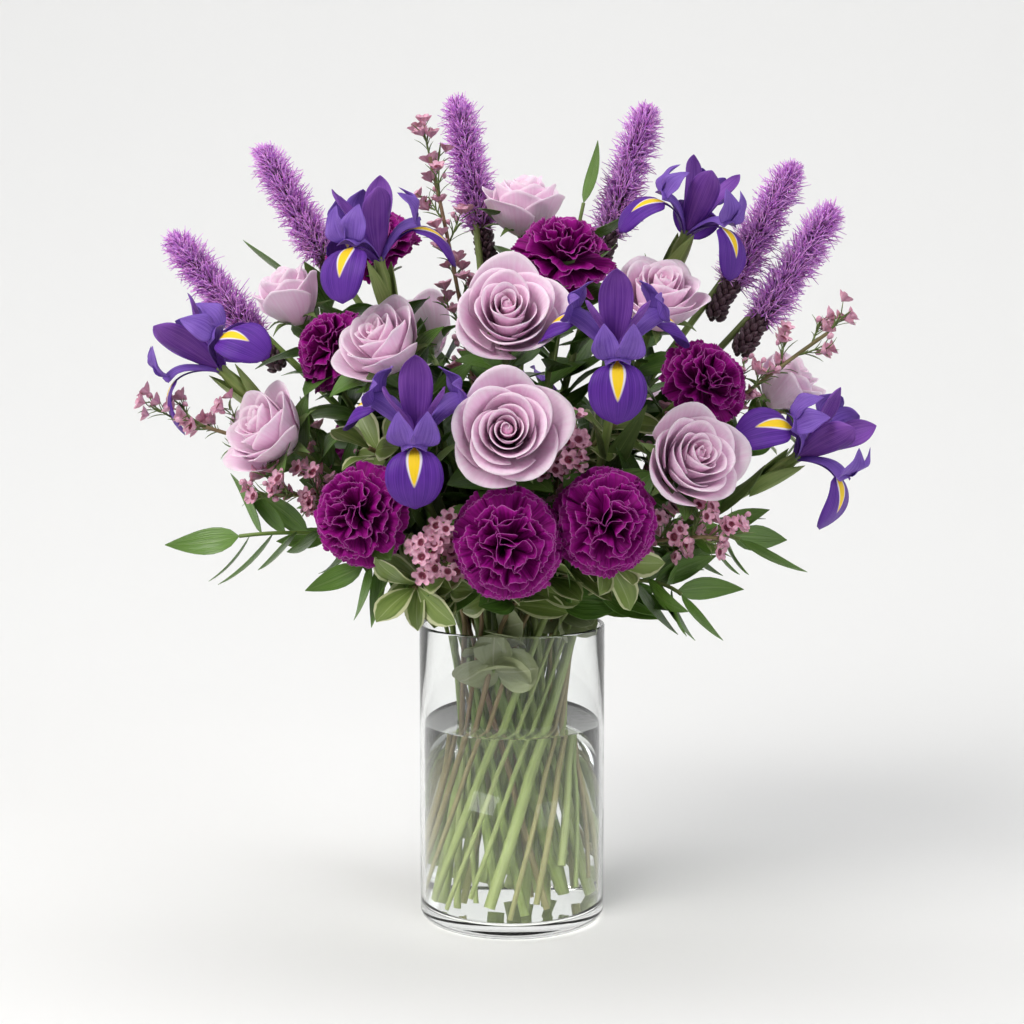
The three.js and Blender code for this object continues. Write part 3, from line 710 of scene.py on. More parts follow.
def carried(spine, outline, turn, cup, ripple, phase):
    """Grids of like petals carried along a smooth spine through (out, up) points, one for each turn.

    The outline gives the half width at each share of the spine. The sides are lifted by cup, as a share of
    the distance from the middle, and rippled near the edge."""
    fine = np.linspace(0, 1, 25)
    fit = np.polyfit(np.linspace(0, 1, len(spine)), np.asarray(spine, float), 4)
    out, up = np.stack([np.polyval(fit[:, k], fine) for k in (0, 1)])
    wide = outline(fine)
    way = np.gradient(np.stack([out, up], -1), axis=0)
    way /= np.linalg.norm(way, axis=1)[:, None]
    u = np.linspace(-1, 1, 15)[:, None]
    turn = np.asarray(turn)[:, None, None]
    waves = np.sin(4.5 * u + 9 * fine[None, :] + phase + 2 * turn) * abs(u) ** 2 * wide * ripple
    lift = cup * abs(u) ** 1.7 * wide + waves
    x = out - way[:, 1] * lift
    z = up + way[:, 0] * lift
    side = u * wide + 0 * x
    return np.stack([x * np.cos(turn) - side * np.sin(turn), x * np.sin(turn) + side * np.cos(turn), z], -1)


def fall_outline(v):
    """A fall: a narrow claw, then a broad round blade."""
    return 2.5 + 2.5 * v - 4.6 * v**8 + 13.5 * np.sqrt(np.clip(1 - ((v - 0.71) / 0.29) ** 2, 0, 1))


def standard_outline(v):
    """A standard: narrow at its foot, broadest past the middle and drawn in to a blunt point."""
    return 2.2 * (1 - v) + 9.2 * np.sin(np.pi * v**1.3) ** 0.8 + 0.4


def crest_outline(v):
    """One of the two upright crests at a style arm's end: broad at its foot and rounded to a point."""
    return 0.55 * (1 - v) + 0.85 * np.sin(np.pi * v**0.85) ** 0.8 * (1 - 0.25 * v)


def style_outline(v):
    """A style arm: a broad arched band of nearly even width."""
    return 3.5 + 4.6 * np.sin(np.pi / 2 * np.minimum(1, 1.6 * v)) - 0.8 * v**6


def iris_material(name, dark, light):
    """Iris petal: blue violet, finely veined along, rough and with little shine. With its shader and its
    colour.
    """
    return plant_material(
        name, dark, light, 40.0, 1.0, 60.0, 0.5, 0.00012,
        Subsurface_Weight=0.1, Subsurface_Radius=(0.5, 0.3, 1.0), Subsurface_Scale=0.0015,
        Specular_IOR_Level=0.2,
    )[:3]


fall_skin, fall_shader, fall_colour = iris_material(
    "iris_fall", (0.050, 0.010, 0.19, 1), (0.16, 0.042, 0.40, 1)
)
fall_tree = fall_skin.node_tree
fall_place = place_on(fall_tree)


def teardrop(tree, place, middle, long, wide):
    """A mask, 1 inside a drop on the petal's UV map and 0 outside: an ellipse about the middle line.

    It is the sum of the squares of the distances across and along, each over its own half size. The half
    size across narrows along the petal, which points the drop."""
    narrowing = ranged(tree, place.outputs["Y"], middle - long, middle + long, 1.3 * wide, 0.45 * wide)
    parts = []
    for socket, centre, size in (("X", 0.5, wide), ("Y", middle, long)):
        away = tree.nodes.new("ShaderNodeMath")
        away.operation = "SUBTRACT"
        tree.links.new(place.outputs[socket], away.inputs[0])
        away.inputs[1].default_value = centre
        scaled = tree.nodes.new("ShaderNodeMath")
        scaled.operation = "DIVIDE"
        tree.links.new(away.outputs[0], scaled.inputs[0])
        scaled.inputs[1].default_value = size
        if socket == "X":
            tree.links.new(narrowing, scaled.inputs[1])
        square = tree.nodes.new("ShaderNodeMath")
        square.operation = "POWER"
        tree.links.new(scaled.outputs[0], square.inputs[0])
        square.inputs[1].default_value = 2.0
        parts.append(square.outputs[0])
    total = tree.nodes.new("ShaderNodeMath")
    total.operation = "ADD"
    tree.links.new(parts[0], total.inputs[0])
    tree.links.new(parts[1], total.inputs[1])
    return ranged(tree, total.outputs[0], 1.15, 0.8)


SIGNAL = ((0.53, 0.25, 0.19, (0.78, 0.72, 0.84, 1)), (0.54, 0.24, 0.135, (0.93, 0.62, 0.02, 1)))
for middle, long, wide, tint in SIGNAL:
    fall_colour = mixed(fall_tree, teardrop(fall_tree, fall_place, middle, long, wide), fall_colour, tint)
fall_tree.links.new(fall_colour, fall_shader.inputs["Base Color"])
standard_skin = iris_material("iris_standard", (0.11, 0.026, 0.27, 1), (0.32, 0.12, 0.52, 1))[0]
style_skin = iris_material("iris_style", (0.11, 0.045, 0.34, 1), (0.30, 0.16, 0.60, 1))[0]
spathe_skin = plant_material(
    "spathe", (0.16, 0.26, 0.05, 1), (0.36, 0.45, 0.14, 1), 20.0, 1.0, 80.0, 0.45, 0.0002
)[0]

FALL = [(1, 20), (8, 30), (17, 37), (26, 39), (35, 37), (42, 31), (46.5, 21), (47.5, 10)]
STANDARD = [(1, 22), (5, 34), (10, 46), (15, 57), (19, 66), (20, 73)]
STYLE = [(1, 24), (8, 35), (16, 43), (24, 46), (31, 46)]
IRIS_REACH = 24 + 46 * math.sin(math.radians(62))
iris_stalks, spathes = [], []
for number, (node, (bearing, rise, size)) in enumerate(IRISES.items()):
    axes = facing(bearing, rise)
    base, foot = bloom_base(node, axes, IRIS_REACH * size)
    down = np.radians([-90, 30, 150])
    between = down + np.pi / 3
    falls = carried(FALL, fall_outline, down, -0.14, 0.06, number)
    standards = carried(STANDARD, standard_outline, between, 0.3, 0.10, 2 * number)
    styles = carried(STYLE, style_outline, down, -0.55, 0.04, number)
    layers = (
        ("falls", falls, fall_skin, 0.6),
        ("standards", standards, standard_skin, 0.6),
        ("styles", styles, style_skin, 0.7),
    )
    lobe = np.repeat(down, 2) + np.tile([-0.16, 0.16], 3)
    level = np.stack([np.cos(lobe), np.sin(lobe), 0 * lobe], -1)
    crest_foot = level * 28 + [0, 0, 44.0]
    sideways = np.stack([-np.sin(lobe), np.cos(lobe), 0 * lobe], -1)
    crest_way = level * -0.3 + sideways * 0.25 * np.tile([-1, 1], 3)[:, None] + [0, 0, 1.0]
    crests = blades(crest_foot, crest_way, level, 23.0, 8.0, 3.5, 0.25, crest_outline, 11, 13, 1.2, number)
    for part, grid, look, thick in layers:
        sheets = [skin(around_bloom(grid, axes, base, size), thick)]
        if part == "styles":
            sheets.append(skin(around_bloom(crests, axes, base, size), thick))
        points, faces, uv, shade = joined(sheets)
        piece = make(f"{node}_{part}", points, faces, uv, shade=shade)
        piece.data.materials.append(look)
        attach(piece, "root")
        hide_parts(node)
    heads.append((base + axes[:, 2] * 36 * size, 32 * size))
    iris_stalks.append((axes[:, 2], base, foot, 3.6, (number * 0.53) % 1))
    ovary = turned([(0, -6), (3.5, -5), (4.4, 2), (4.8, 12), (3.6, 20), (4.2, 25), (0, 27)], 14)
    ovary_uv = np.stack([np.arctan2(ovary[0][:, 1], ovary[0][:, 0]) / 6.28 + 0.5, ovary[0][:, 2] / 40], -1)
    ovary_shade = np.full(len(ovary[0]), 0.5)
    spathes.append((around_bloom(ovary[0], axes, base, size), ovary[1], ovary_uv, ovary_shade))
    turn = np.radians([70, 250])
    rim = np.stack([3.6 * np.cos(turn), 3.6 * np.sin(turn), [-26.0, -20.0]], -1)
    out = np.stack([0.12 * np.cos(turn), 0.12 * np.sin(turn), [1.0, 1.0]], -1)
    inward = np.stack([np.cos(turn), np.sin(turn), [0.0, 0.0]], -1)
    sheath = blades(rim, out, inward, 46.0, 8.5, 1.5, -0.75, pointed, across=11)
    spathes.append(skin(around_bloom(sheath, axes, base, size), 0.6, np.full(2, 0.5)))
points, faces, uv, shade = joined(spathes)
iris_spathes = make("iris_spathes", points, faces, uv, 60, shade=shade)
iris_spathes.data.materials.append(spathe_skin)
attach(iris_spathes, "root")
stalks("iris_stalks", iris_stalks, green_stalk)

# ---------------------------------------------------------------------------------------------------------
# The blazing stars: tall spikes that open from the top down. Tight dark buds sit close on the green rod
# below, and above them every floret throws out a tuft of fine curling purple threads.
# ---------------------------------------------------------------------------------------------------------
SPIKES = {
    "liatris_1": (-92, 51),
    "liatris_2": (-95, 60),
    "liatris_3": (-90, 79),
    "liatris_4": (90, 73),
    "liatris_5": (90, 62),
    "liatris_6": (90, 57),
}


def threads(start, way, length, bend, radius, shade):
    """Fine three-sided threads, all at once: each runs from its start along its way and bends as the square.

    Each tapers to its tip, and both its ends are closed."""
    s = np.array([0, 0.35, 0.7, 1.0])[None, :, None]
    line = start[:, None] + way[:, None] * length[:, None, None] * s + bend[:, None] * s**2
    first = np.cross(way, [0.3, 0.5, 0.81])
    first /= np.linalg.norm(first, axis=1)[:, None]
    second = np.cross(way, first)
    angle = np.radians([0, 120, 240])
    ring = first[:, None] * np.cos(angle)[None, :, None] + second[:, None] * np.sin(angle)[None, :, None]
    taper = radius * np.array([1.0, 1.1, 0.8, 0.45])[None, :, None, None]
    body = (line[:, :, None] + ring[:, None] * taper).reshape(len(start), 12, 3)
    points = np.concatenate([body, line[:, :1], line[:, -1:]], 1)
    number = np.arange(12).reshape(4, 3)
    after = np.roll(number, -1, axis=1)
    quads = np.stack([number[:-1], after[:-1], after[1:], number[1:]], -1).reshape(-1, 4)
    foot_cap = np.stack([after[0], number[0], np.full(3, 12)], -1)
    tip_cap = np.stack([number[-1], after[-1], np.full(3, 13)], -1)
    caps = np.concatenate([foot_cap, tip_cap])
    step = (np.arange(len(start)) * 14)[:, None, None]
    faces = [(quads[None] + step).reshape(-1, 4), (caps[None] + step).reshape(-1, 3)]
    share = np.append(np.repeat(s.ravel(), 3), [0, 1])
    uv = np.broadcast_to(share[None, :, None], (len(start), 14, 2))
    return points.reshape(-1, 3), faces, uv.reshape(-1, 2), np.repeat(shade, 14)


def scattered(shape, frames, places, sizes, shade):
    """One small shape set down many times, each turned by its own frame and at its own place and size."""
    points, faces, uv = shape
    turned_points = np.einsum("kij,nj->kni", frames, points) * sizes[:, None, None] + places[:, None]
    step = (np.arange(len(places)) * len(points))[:, None, None]
    laid = [(group[None] + step).reshape(-1, group.shape[1]) for group in faces]
    spread = np.broadcast_to(uv, (len(places), *uv.shape)).reshape(-1, 2)
    return turned_points.reshape(-1, 3), laid, spread, np.repeat(shade, len(points))


def frames_along(ways, spin=0.0):
    """A frame for each way, with its Z along the way and turned about it by spin."""
    z = ways / np.linalg.norm(ways, axis=-1, keepdims=True)
    x = np.cross(z, [0.23, 0.71, 0.66])
    x /= np.linalg.norm(x, axis=-1, keepdims=True)
    y = np.cross(z, x)
    c, s = (np.broadcast_to(f(spin), len(z))[:, None] for f in (np.cos, np.sin))
    return np.stack([x * c + y * s, y * c - x * s, z], -1)


thread_skin, thread_shader = material(
    "liatris_thread", Roughness=0.5, Sheen_Weight=0.2, Subsurface_Weight=0.1, Subsurface_Scale=0.001
)
thread_tree = thread_skin.node_tree
thread_colour = mixed(
    thread_tree, mark_of(thread_tree, "shade"), (0.46, 0.10, 0.60, 1), (0.96, 0.50, 1.0, 1)
)
# Painted shade: the lower part of each thread is blended to near black, standing in for the shade deep in the
# tuft round the rod.
thread_foot_painted_shade = ranged(thread_tree, place_on(thread_tree).outputs["X"], 0.6, 0.05, 0.0, 0.95)
thread_colour = mixed(thread_tree, thread_foot_painted_shade, thread_colour, (0.09, 0.014, 0.10, 1))
thread_tree.links.new(thread_colour, thread_shader.inputs["Base Color"])
bud_skin = plant_material(
    "liatris_bud", (0.030, 0.014, 0.024, 1), (0.15, 0.08, 0.10, 1), 5.0, 2.0, 400.0, 0.5, 0.0003
)[0]

bud_shape = turned([(0, 0), (1.5, 0.8), (2.1, 2.6), (1.7, 4.8), (0.7, 6.4), (0, 6.8)], 7)
bud_shape = (*bud_shape, np.stack([bud_shape[0][:, 0] / 5 + 0.5, bud_shape[0][:, 2] / 7], -1))
SPIKE_LENGTH = 120
spike_stalks = []
for number, (node, (bearing, rise)) in enumerate(SPIKES.items()):
    axes = facing(bearing, rise)
    base, foot = bloom_base(node, axes, SPIKE_LENGTH)
    rng = np.random.default_rng(70 + number)
    spike_stalks.append((axes[:, 2], base + axes[:, 2] * (SPIKE_LENGTH - 8), foot, 2.9, (number * 0.31) % 1))

    count = 210
    rank = (np.arange(count) + 0.5) / count
    height = 2 + 114 * rank**0.92
    turn = GOLDEN_ANGLE * np.arange(count)
    out = np.stack([np.cos(turn), np.sin(turn), np.zeros(count)], -1)
    rod = 2.3 * (1 - 0.5 * rank)
    seat = out * rod[:, None] + np.stack([0 * turn, 0 * turn, height], -1)
    rising = out * 0.72 + np.stack([0 * turn, 0 * turn, 0.65 + 0.5 * rank**2], -1)
    rising /= np.linalg.norm(rising, axis=1)[:, None]
    size = np.clip(1.15 - 0.55 * rank, 0.5, 1.2) * rng.uniform(0.85, 1.15, count)
    buds = scattered(bud_shape, frames_along(rising), seat, size, rng.uniform(0, 1, count))
    points, faces, uv, shade = buds
    piece = make(node + "_buds", around_bloom(points, axes, base, 1), faces, uv, shade=shade)
    piece.data.materials.append(bud_skin)
    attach(piece, "root")
    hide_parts(node)

    tuft = np.repeat(np.arange(count)[height > 26], 12)
    loose = rng.normal(0, 0.62, (len(tuft), 3))
    way = rising[tuft] + loose
    way /= np.linalg.norm(way, axis=1)[:, None]
    start = seat[tuft] + rising[tuft] * 4.2 * size[tuft][:, None]
    fullness = np.clip((height[tuft] - 18) / 14, 0.35, 1) * np.clip((125 - height[tuft]) / 22, 0.5, 1)
    length = 12.5 * fullness * rng.uniform(0.7, 1.2, len(tuft))
    bend = rng.normal(0, 1.7, (len(tuft), 3)) * fullness[:, None]
    tufts = threads(start, way, length, bend, 0.45, rng.uniform(0, 1, len(tuft)))
    points, faces, uv, shade = tufts
    piece = make(node + "_threads", around_bloom(points, axes, base, 1), faces, uv, shade=shade)
    piece.data.materials.append(thread_skin)
    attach(piece, "root")
    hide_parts(node)
stalks("liatris_stalks", spike_stalks, green_stalk)

# ---------------------------------------------------------------------------------------------------------
# The waxflower: wiry brown stems that branch into sprays. Each branch carries small waxy pink flowers with
# five round petals and a dark cup in the middle, round buds, and short needle leaves.
# ---------------------------------------------------------------------------------------------------------
SPRAYS = {
    "waxflower_1": (-60, 75),
    "waxflower_2": (-95, 15),
    "waxflower_3": (-70, -5),
    "waxflower_4": (15, 25),
    "waxflower_5": (-10, 0),
    "waxflower_6": (40, 0),
    "waxflower_7": (90, 35),
    "waxflower_8": (155, 10),
}


def waxflower():
    """One flower, Z out of it: a dish whose rim radius rises and falls five times round, closed below.

    Its rings run from the middle of the dark cup over the cup's rim to the petals' edge and back under to
    the point where the flower joins its stalk."""
    turn = np.linspace(0, 2 * np.pi, 20, endpoint=False)
    lobes = abs(np.cos(2.5 * turn)) ** 0.6
    cup = [(0.9, 0.0, 1.0), (1.5, 0.0, 1.7), (1.9, 0.0, 1.5)]
    petals = [(3.0, 0.8, 1.9), (3.0, 2.1, 2.7), (2.4, 1.0, 1.0), (0.9, 0.0, -0.8)]
    rows = cup + petals
    rings = []
    for a, b, z in rows:
        radius = a + b * lobes
        rings.append(np.stack([radius * np.cos(turn), radius * np.sin(turn), z + 0.5 * lobes * (b > 1)], -1))
    points = np.concatenate([*rings, [[0, 0, 0.7]], [[0, 0, -1.8]]])
    number = np.arange(len(rows) * 20).reshape(-1, 20)
    after = np.roll(number, -1, axis=1)
    quads = np.stack([number[:-1], number[1:], after[1:], after[:-1]], -1).reshape(-1, 4)
    top = np.stack([number[0], after[0], np.full(20, len(points) - 2)], -1)
    under = np.stack([after[-1], number[-1], np.full(20, len(points) - 1)], -1)
    share = np.repeat([0.05, 0.2, 0.3, 0.6, 1.0, 0.8, 0.5], 20)
    uv = np.stack([np.tile(turn / (2 * np.pi), 7), share], -1)
    return points, [quads, top, under], np.concatenate([uv, [[0, 0], [0, 0.5]]])


wax_skin, wax_shader, wax_colour = plant_material(
    "waxflower_petal", (0.58, 0.23, 0.36, 1), (0.84, 0.52, 0.64, 1), 10.0, 2.0, 300.0, 0.35, 0.0001,
    Subsurface_Weight=0.1, Subsurface_Scale=0.001,
)[:3]
wax_tree = wax_skin.node_tree
wax_heart = ranged(wax_tree, place_on(wax_tree).outputs["Y"], 0.42, 0.26)
wax_colour = mixed(wax_tree, wax_heart, wax_colour, (0.16, 0.012, 0.04, 1))
wax_tree.links.new(wax_colour, wax_shader.inputs["Base Color"])
twig_stalk = stalk_skin(
    "woody_stalk", (0.13, 0.07, 0.035, 1), (0.30, 0.20, 0.11, 1), (0.26, 0.28, 0.10, 1), 200.0, 0.6
)
needle_skin = plant_material(
    "needle_leaf", (0.07, 0.12, 0.03, 1), (0.22, 0.30, 0.08, 1), 6.0, 1.0, 150.0, 0.45, 0.0002
)[0]
wax_flower = waxflower()
wax_bud = turned([(0, -1.2), (0.8, -0.8), (1.7, 0.8), (1.8, 1.9), (1.1, 3.0), (0, 3.2)], 8)
wax_bud = (*wax_bud, np.stack([wax_bud[0][:, 0] / 5 + 0.5, np.full(len(wax_bud[0]), 0.75)], -1))
# The middle of the bouquet: flowers and leaves face away from it.
MIDDLE = np.array([0.0, 20.0, 230.0])


def clear_of_heads(points, share=0.8):
    """For groups of points (groups, points, 3): true where none of a group is inside a share of a bloom."""
    centres = np.array([centre for centre, radius in heads])
    radii = np.array([radius for centre, radius in heads]) * share
    away = np.linalg.norm(points[:, :, None] - centres, axis=-1)
    return (away > radii).all(axis=(1, 2))


def joints_on(path, at):
    """Points on a path and its unit ways there, at places counted in the path's own points."""
    number = np.arange(len(path))
    origin = np.stack([np.interp(at, number, path[:, k]) for k in range(3)], -1)
    along = np.stack([np.interp(at, number, np.gradient(path[:, k])) for k in range(3)], -1)
    return origin, along / np.linalg.norm(along, axis=1)[:, None]


TWIG_RISE = np.array([0, 0, 4.0])
wax_stalks = []
for number, (node, (bearing, rise)) in enumerate(SPRAYS.items()):
    axes = facing(bearing, rise)
    base, foot = bloom_base(node, axes, 25.5)
    rng = np.random.default_rng(90 + number)
    end = base + axes[:, 2] * 9
    path = stalk_path(foot, end, axes[:, 2])
    wax_stalks.append((axes[:, 2], end, foot, 1.6, (number * 0.29) % 1))

    count = 17
    at = np.linspace(15, len(path) - 1.01, count)
    origin, along = joints_on(path, at)
    spun = frames_along(along, GOLDEN_ANGLE * np.arange(count))
    open_by = np.where(at > len(path) - 2, 0.1, 0.75)[:, None]
    branch = along * np.cos(open_by) + spun[:, :, 0] * np.sin(open_by)
    branch[:, 2] += 0.25
    branch /= np.linalg.norm(branch, axis=1)[:, None]
    reach = rng.uniform(17, 30, count) * np.linspace(1.3, 0.6, count)
    twigs = threads(origin, branch, reach, TWIG_RISE * np.ones((count, 1)), 0.75, rng.uniform(0, 1, count))

    each = 5
    which = np.repeat(np.arange(count), each)
    step = np.tile(np.linspace(0.4, 0.95, each), count)
    joint = origin[which] + branch[which] * (reach[which] * step)[:, None] + TWIG_RISE * step[:, None] ** 2
    sideways = frames_along(branch[which], rng.uniform(0, 6.28, len(which)))[:, :, 0]
    outward = joint - MIDDLE
    outward /= np.linalg.norm(outward, axis=1)[:, None]
    stem_way = branch[which] * 0.5 + sideways * 0.8 + outward * 0.35
    stem_way /= np.linalg.norm(stem_way, axis=1)[:, None]
    stem_long = rng.uniform(5, 10, len(which))
    straight = np.zeros((len(which), 3))
    pedicels = threads(joint, stem_way, stem_long, straight, 0.42, rng.uniform(0, 1, len(which)))
    sits = joint + stem_way * stem_long[:, None]
    look = stem_way + outward * 2.0 + rng.normal(0, 0.25, (len(which), 3))
    kept = clear_of_heads(sits[:, None], 0.95)
    flower = kept & (rng.uniform(0, 1, len(which)) < 0.74)
    bud = kept & ~flower
    shades = rng.uniform(0, 1, len(which))
    flower_size = rng.uniform(1.05, 1.35, flower.sum())
    bud_size = rng.uniform(0.8, 1.2, bud.sum())
    flower_frames = frames_along(look[flower], shades[flower])
    open_ones = scattered(wax_flower, flower_frames, sits[flower], flower_size, shades[flower])
    closed_ones = scattered(wax_bud, frames_along(look[bud]), sits[bud], bud_size, shades[bud])
    points, faces, uv, shade = joined([open_ones, closed_ones])
    piece = make(node + "_flowers", points, faces, uv, 70, shade=shade)
    piece.data.materials.append(wax_skin)
    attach(piece, "root")
    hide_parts(node)

    leaf_on = np.repeat(np.arange(count), 6)
    leaf_step = np.tile(np.linspace(0.1, 0.9, 6), count)
    seat = origin[leaf_on] + branch[leaf_on] * (reach[leaf_on] * leaf_step)[:, None]
    leaf_way = branch[leaf_on] + frames_along(branch[leaf_on], 2.4 * np.arange(len(leaf_on)))[:, :, 0] * 0.75
    leaf_long = rng.uniform(9, 15, len(leaf_on))
    needles = blades(seat, leaf_way, branch[leaf_on], leaf_long, 0.75, 1.0, 0.2, pointed, 3, 5)
    points, faces, uv, shade = joined([twigs, pedicels, skin(needles, 0.5, rng.uniform(0, 1, len(leaf_on)))])
    piece = make(node + "_needles", points, faces, uv, shade=shade)
    piece.data.materials.append(needle_skin)
    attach(piece, "root")
    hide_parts(node)
stalks("waxflower_stalks", wax_stalks, twig_stalk)

# ---------------------------------------------------------------------------------------------------------
# The greenery: glossy pointed ruscus on arching green stems, pittosporum with rounded leaves margined in
# cream on woody stems, and silver-dollar eucalyptus with round grey-green leaves.
# ---------------------------------------------------------------------------------------------------------


def rounded(v):
    """The outline of a spoon-shaped leaf: narrow at the stalk and broadest two thirds of the way along."""
    return np.sin(np.pi * v**1.45) ** 0.75 * 0.97 + 0.05 * (1 - v)


def coin(v):
    """The outline of a round leaf on a short stalk."""
    return np.sqrt(np.clip(1 - ((v - 0.55) / 0.45) ** 2, 0, 1)) + 0.05 * (v < 0.2)


def foliage(path, rng, count, first, last, length, half, opened, turn, outline, bow, fold, wave=0.0, steps=9):
    """Grids of leaves along one stem, from a first to a last place counted in the path's own points.

    Each leaf leaves its stalk opened by an angle, and is turned round it from the last one, in degrees.
    They face away from the middle of the bouquet; one whose outer half would stand in a bloom is left off."""
    origin, along = joints_on(path, np.linspace(first, last, count))
    out = origin - MIDDLE
    out /= np.linalg.norm(out, axis=1)[:, None]
    side = np.cross(along, out)
    side /= np.linalg.norm(side, axis=1)[:, None]
    up = np.cross(side, along)
    phi = (np.radians(turn) * np.arange(count) + rng.normal(0, 0.25, count))[:, None]
    angle = (np.radians(opened) + rng.normal(0, 0.12, count))[:, None]
    way = along * np.cos(angle) + (side * np.cos(phi) + up * np.sin(phi)) * np.sin(angle)
    size = rng.uniform(0.82, 1.08, count)
    face = out + along * 0.7 + rng.normal(0, 0.2, (count, 3))
    grid = blades(origin, way, face, length * size, half * size, bow * rng.uniform(0.3, 1.4, count),
                  fold * rng.uniform(0.5, 1.3, count), outline, 7, steps, wave, int(rng.integers(1000)))
    return grid[clear_of_heads(grid[:, 3, steps // 2 :].reshape(count, -1, 3))]


def leaf_piece(name, sheets, look, node=None):
    """One mesh of leaves, from a list of grids, each leaf with its own shade."""
    grid = np.concatenate(sheets)
    shades = np.random.default_rng(len(grid)).uniform(0, 1, len(grid))
    points, faces, uv, shade = skin(grid, 0.6, shades)
    piece = make(name, points, faces, uv, 60, shade=shade)
    piece.data.materials.append(look)
    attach(piece, "root")
    if node:
        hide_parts(node)


def hash_of(name):
    """A seed from a name: the sum of its letters' numbers."""
    return sum(ord(letter) for letter in name)


def greens(name, plants, reach, look, stalk_slot, stalk_look, radius, count, first, **leaf):
    """The sprigs of one green: a piece of leaves for each, one of them at its tip, and a piece of stalks."""
    stems = []
    for number, (node, (bearing, rise)) in enumerate(plants.items()):
        axes = facing(bearing, rise)
        end, foot = bloom_base(node, axes, reach)
        rng = np.random.default_rng(hash_of(name) + number)
        path = stalk_path(foot, end, axes[:, 2])
        stems.append((axes[:, 2], end, foot, radius, (number * 0.33) % 1))
        sheets = [foliage(path, rng, count, first, len(path) - 2.0, **leaf)]
        top = len(path) - 1.01
        sheets.append(foliage(path, rng, 1, top, top, **{**leaf, "opened": 3}))
        leaf_piece(node + "_leaves", sheets, look, node)
    stalks(name + "_stalks", stems, stalk_look)


def leaf_material(name, dark, light, rib, margin, rough, veins, margin_width=0.0):
    """A leaf: veined and mottled, each a little different, with a paler rib down the middle and a margin."""
    made, shader, colour, grain = plant_material(name, dark, light, veins, 1.2, 60.0, rough, 0.00025)
    tree = made.node_tree
    colour = mixed(tree, ranged(tree, mark_of(tree, "shade"), 0.0, 1.0, 0.0, 0.55), colour, light)
    away = tree.nodes.new("ShaderNodeMath")
    away.operation = "SUBTRACT"
    tree.links.new(place_on(tree).outputs["X"], away.inputs[0])
    away.inputs[1].default_value = 0.5
    size = tree.nodes.new("ShaderNodeMath")
    size.operation = "ABSOLUTE"
    tree.links.new(away.outputs[0], size.inputs[0])
    colour = mixed(tree, ranged(tree, size.outputs[0], 0.035, 0.012, 0.0, 0.6), colour, rib)
    if margin_width:
        waver = tree.nodes.new("ShaderNodeMath")
        waver.operation = "MULTIPLY_ADD"
        tree.links.new(grain.outputs["Mottle"], waver.inputs[0])
        waver.inputs[1].default_value = 0.07
        tree.links.new(size.outputs[0], waver.inputs[2])
        edge = ranged(tree, waver.outputs[0], 0.5 - margin_width, 0.53 - margin_width, 0.0, 0.85)
        colour = mixed(tree, edge, colour, margin)
    tree.links.new(colour, shader.inputs["Base Color"])
    return made


ruscus_skin = leaf_material(
    "ruscus_leaf", (0.045, 0.115, 0.014, 1), (0.15, 0.29, 0.040, 1), (0.20, 0.30, 0.09, 1), None, 0.32, 22.0
)
pittosporum_skin = leaf_material(
    "pittosporum_leaf", (0.085, 0.15, 0.03, 1), (0.24, 0.32, 0.08, 1), (0.36, 0.43, 0.18, 1),
    (0.62, 0.64, 0.38, 1), 0.4, 9.0, 0.09,
)
eucalyptus_skin = leaf_material(
    "eucalyptus_leaf", (0.22, 0.26, 0.12, 1), (0.38, 0.42, 0.24, 1), (0.50, 0.52, 0.34, 1), None, 0.55, 8.0
)
bloom_leaf_skin = leaf_material(
    "bloom_leaf", (0.030, 0.085, 0.012, 1), (0.12, 0.24, 0.035, 1), (0.16, 0.24, 0.08, 1), None, 0.38, 14.0
)
strap_skin = leaf_material(
    "strap_leaf", (0.07, 0.13, 0.03, 1), (0.20, 0.29, 0.08, 1), (0.24, 0.34, 0.11, 1), None, 0.45, 30.0
)
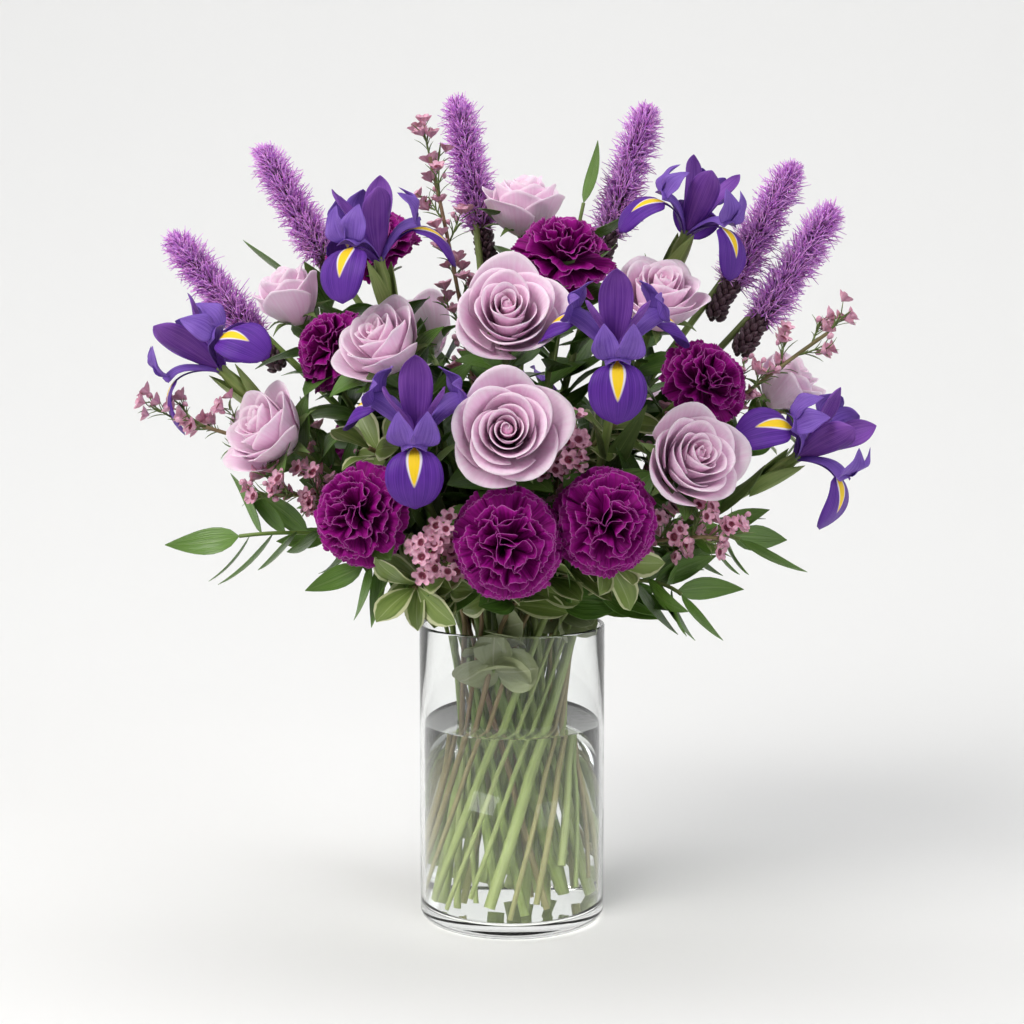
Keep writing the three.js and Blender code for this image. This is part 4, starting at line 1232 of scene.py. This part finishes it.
RUSCUS = {
    "ruscus_1": (-98, -8),
    "ruscus_2": (-75, -25),
    "ruscus_3": (75, -25),
    "ruscus_4": (60, -35),
    "ruscus_5": (90, 78),
    "ruscus_6": (-95, 35),
    "ruscus_7": (-130, -5),
    "ruscus_8": (130, -10),
}
PITTOSPORUM = {
    "pittosporum_1": (-45, 20),
    "pittosporum_2": (-30, -30),
    "pittosporum_3": (85, 10),
    "pittosporum_4": (45, 30),
    "pittosporum_5": (30, -20),
    "pittosporum_6": (-170, -20),
}
EUCALYPTUS = {"eucalyptus_1": (-10, 80), "eucalyptus_2": (15, 60), "eucalyptus_3": (150, 40)}
greens(
    "ruscus", RUSCUS, 46, ruscus_skin, "green_stem", green_stalk, 1.6, 18, 14,
    length=46, half=8.8, opened=50, turn=180, outline=pointed, bow=-4, fold=0.2,
)
greens(
    "pittosporum", PITTOSPORUM, 38, pittosporum_skin, "woody_stem", twig_stalk, 2.0, 26, 13,
    length=37, half=9.5, opened=58, turn=137.5, outline=rounded, bow=3, fold=0.25, wave=0.9,
)
greens(
    "eucalyptus", EUCALYPTUS, 34, eucalyptus_skin, "green_stem", green_stalk, 1.7, 9, 10,
    length=31, half=15, opened=70, turn=137.5, outline=coin, bow=2, fold=0.15, steps=13,
)

# ---------------------------------------------------------------------------------------------------------
# The flower stems' own leaves: broad dark leaves on the roses and carnations, long paler straps on the
# irises, and narrow dark leaves under the spikes. They fill the dome between the blooms. Each grows between
# a first and a last point of its stalk's path, which has 8 points up to the rim and 26 above it.
# ---------------------------------------------------------------------------------------------------------
for name, count, first, last, length, half, opened, outline, look in (
    ("rose", 19, 12, 33, 46, 15.0, 64, pointed, bloom_leaf_skin),
    ("carnation", 16, 12, 33, 46, 13.0, 62, rounded, bloom_leaf_skin),
    ("iris", 6, 11, 28, 66, 7.0, 24, pointed, strap_skin),
    ("liatris", 12, 12, 21, 46, 8.0, 48, pointed, bloom_leaf_skin),
):
    sheets = [
        foliage(path, np.random.default_rng(hash_of(name) + number), count, first, last, length, half, opened,
                137.5, outline, 4, 0.2, wave=0.8)
        for number, path in enumerate(paths[name + "_stalks"])
    ]
    leaf_piece(name + "_leaves", sheets, look)
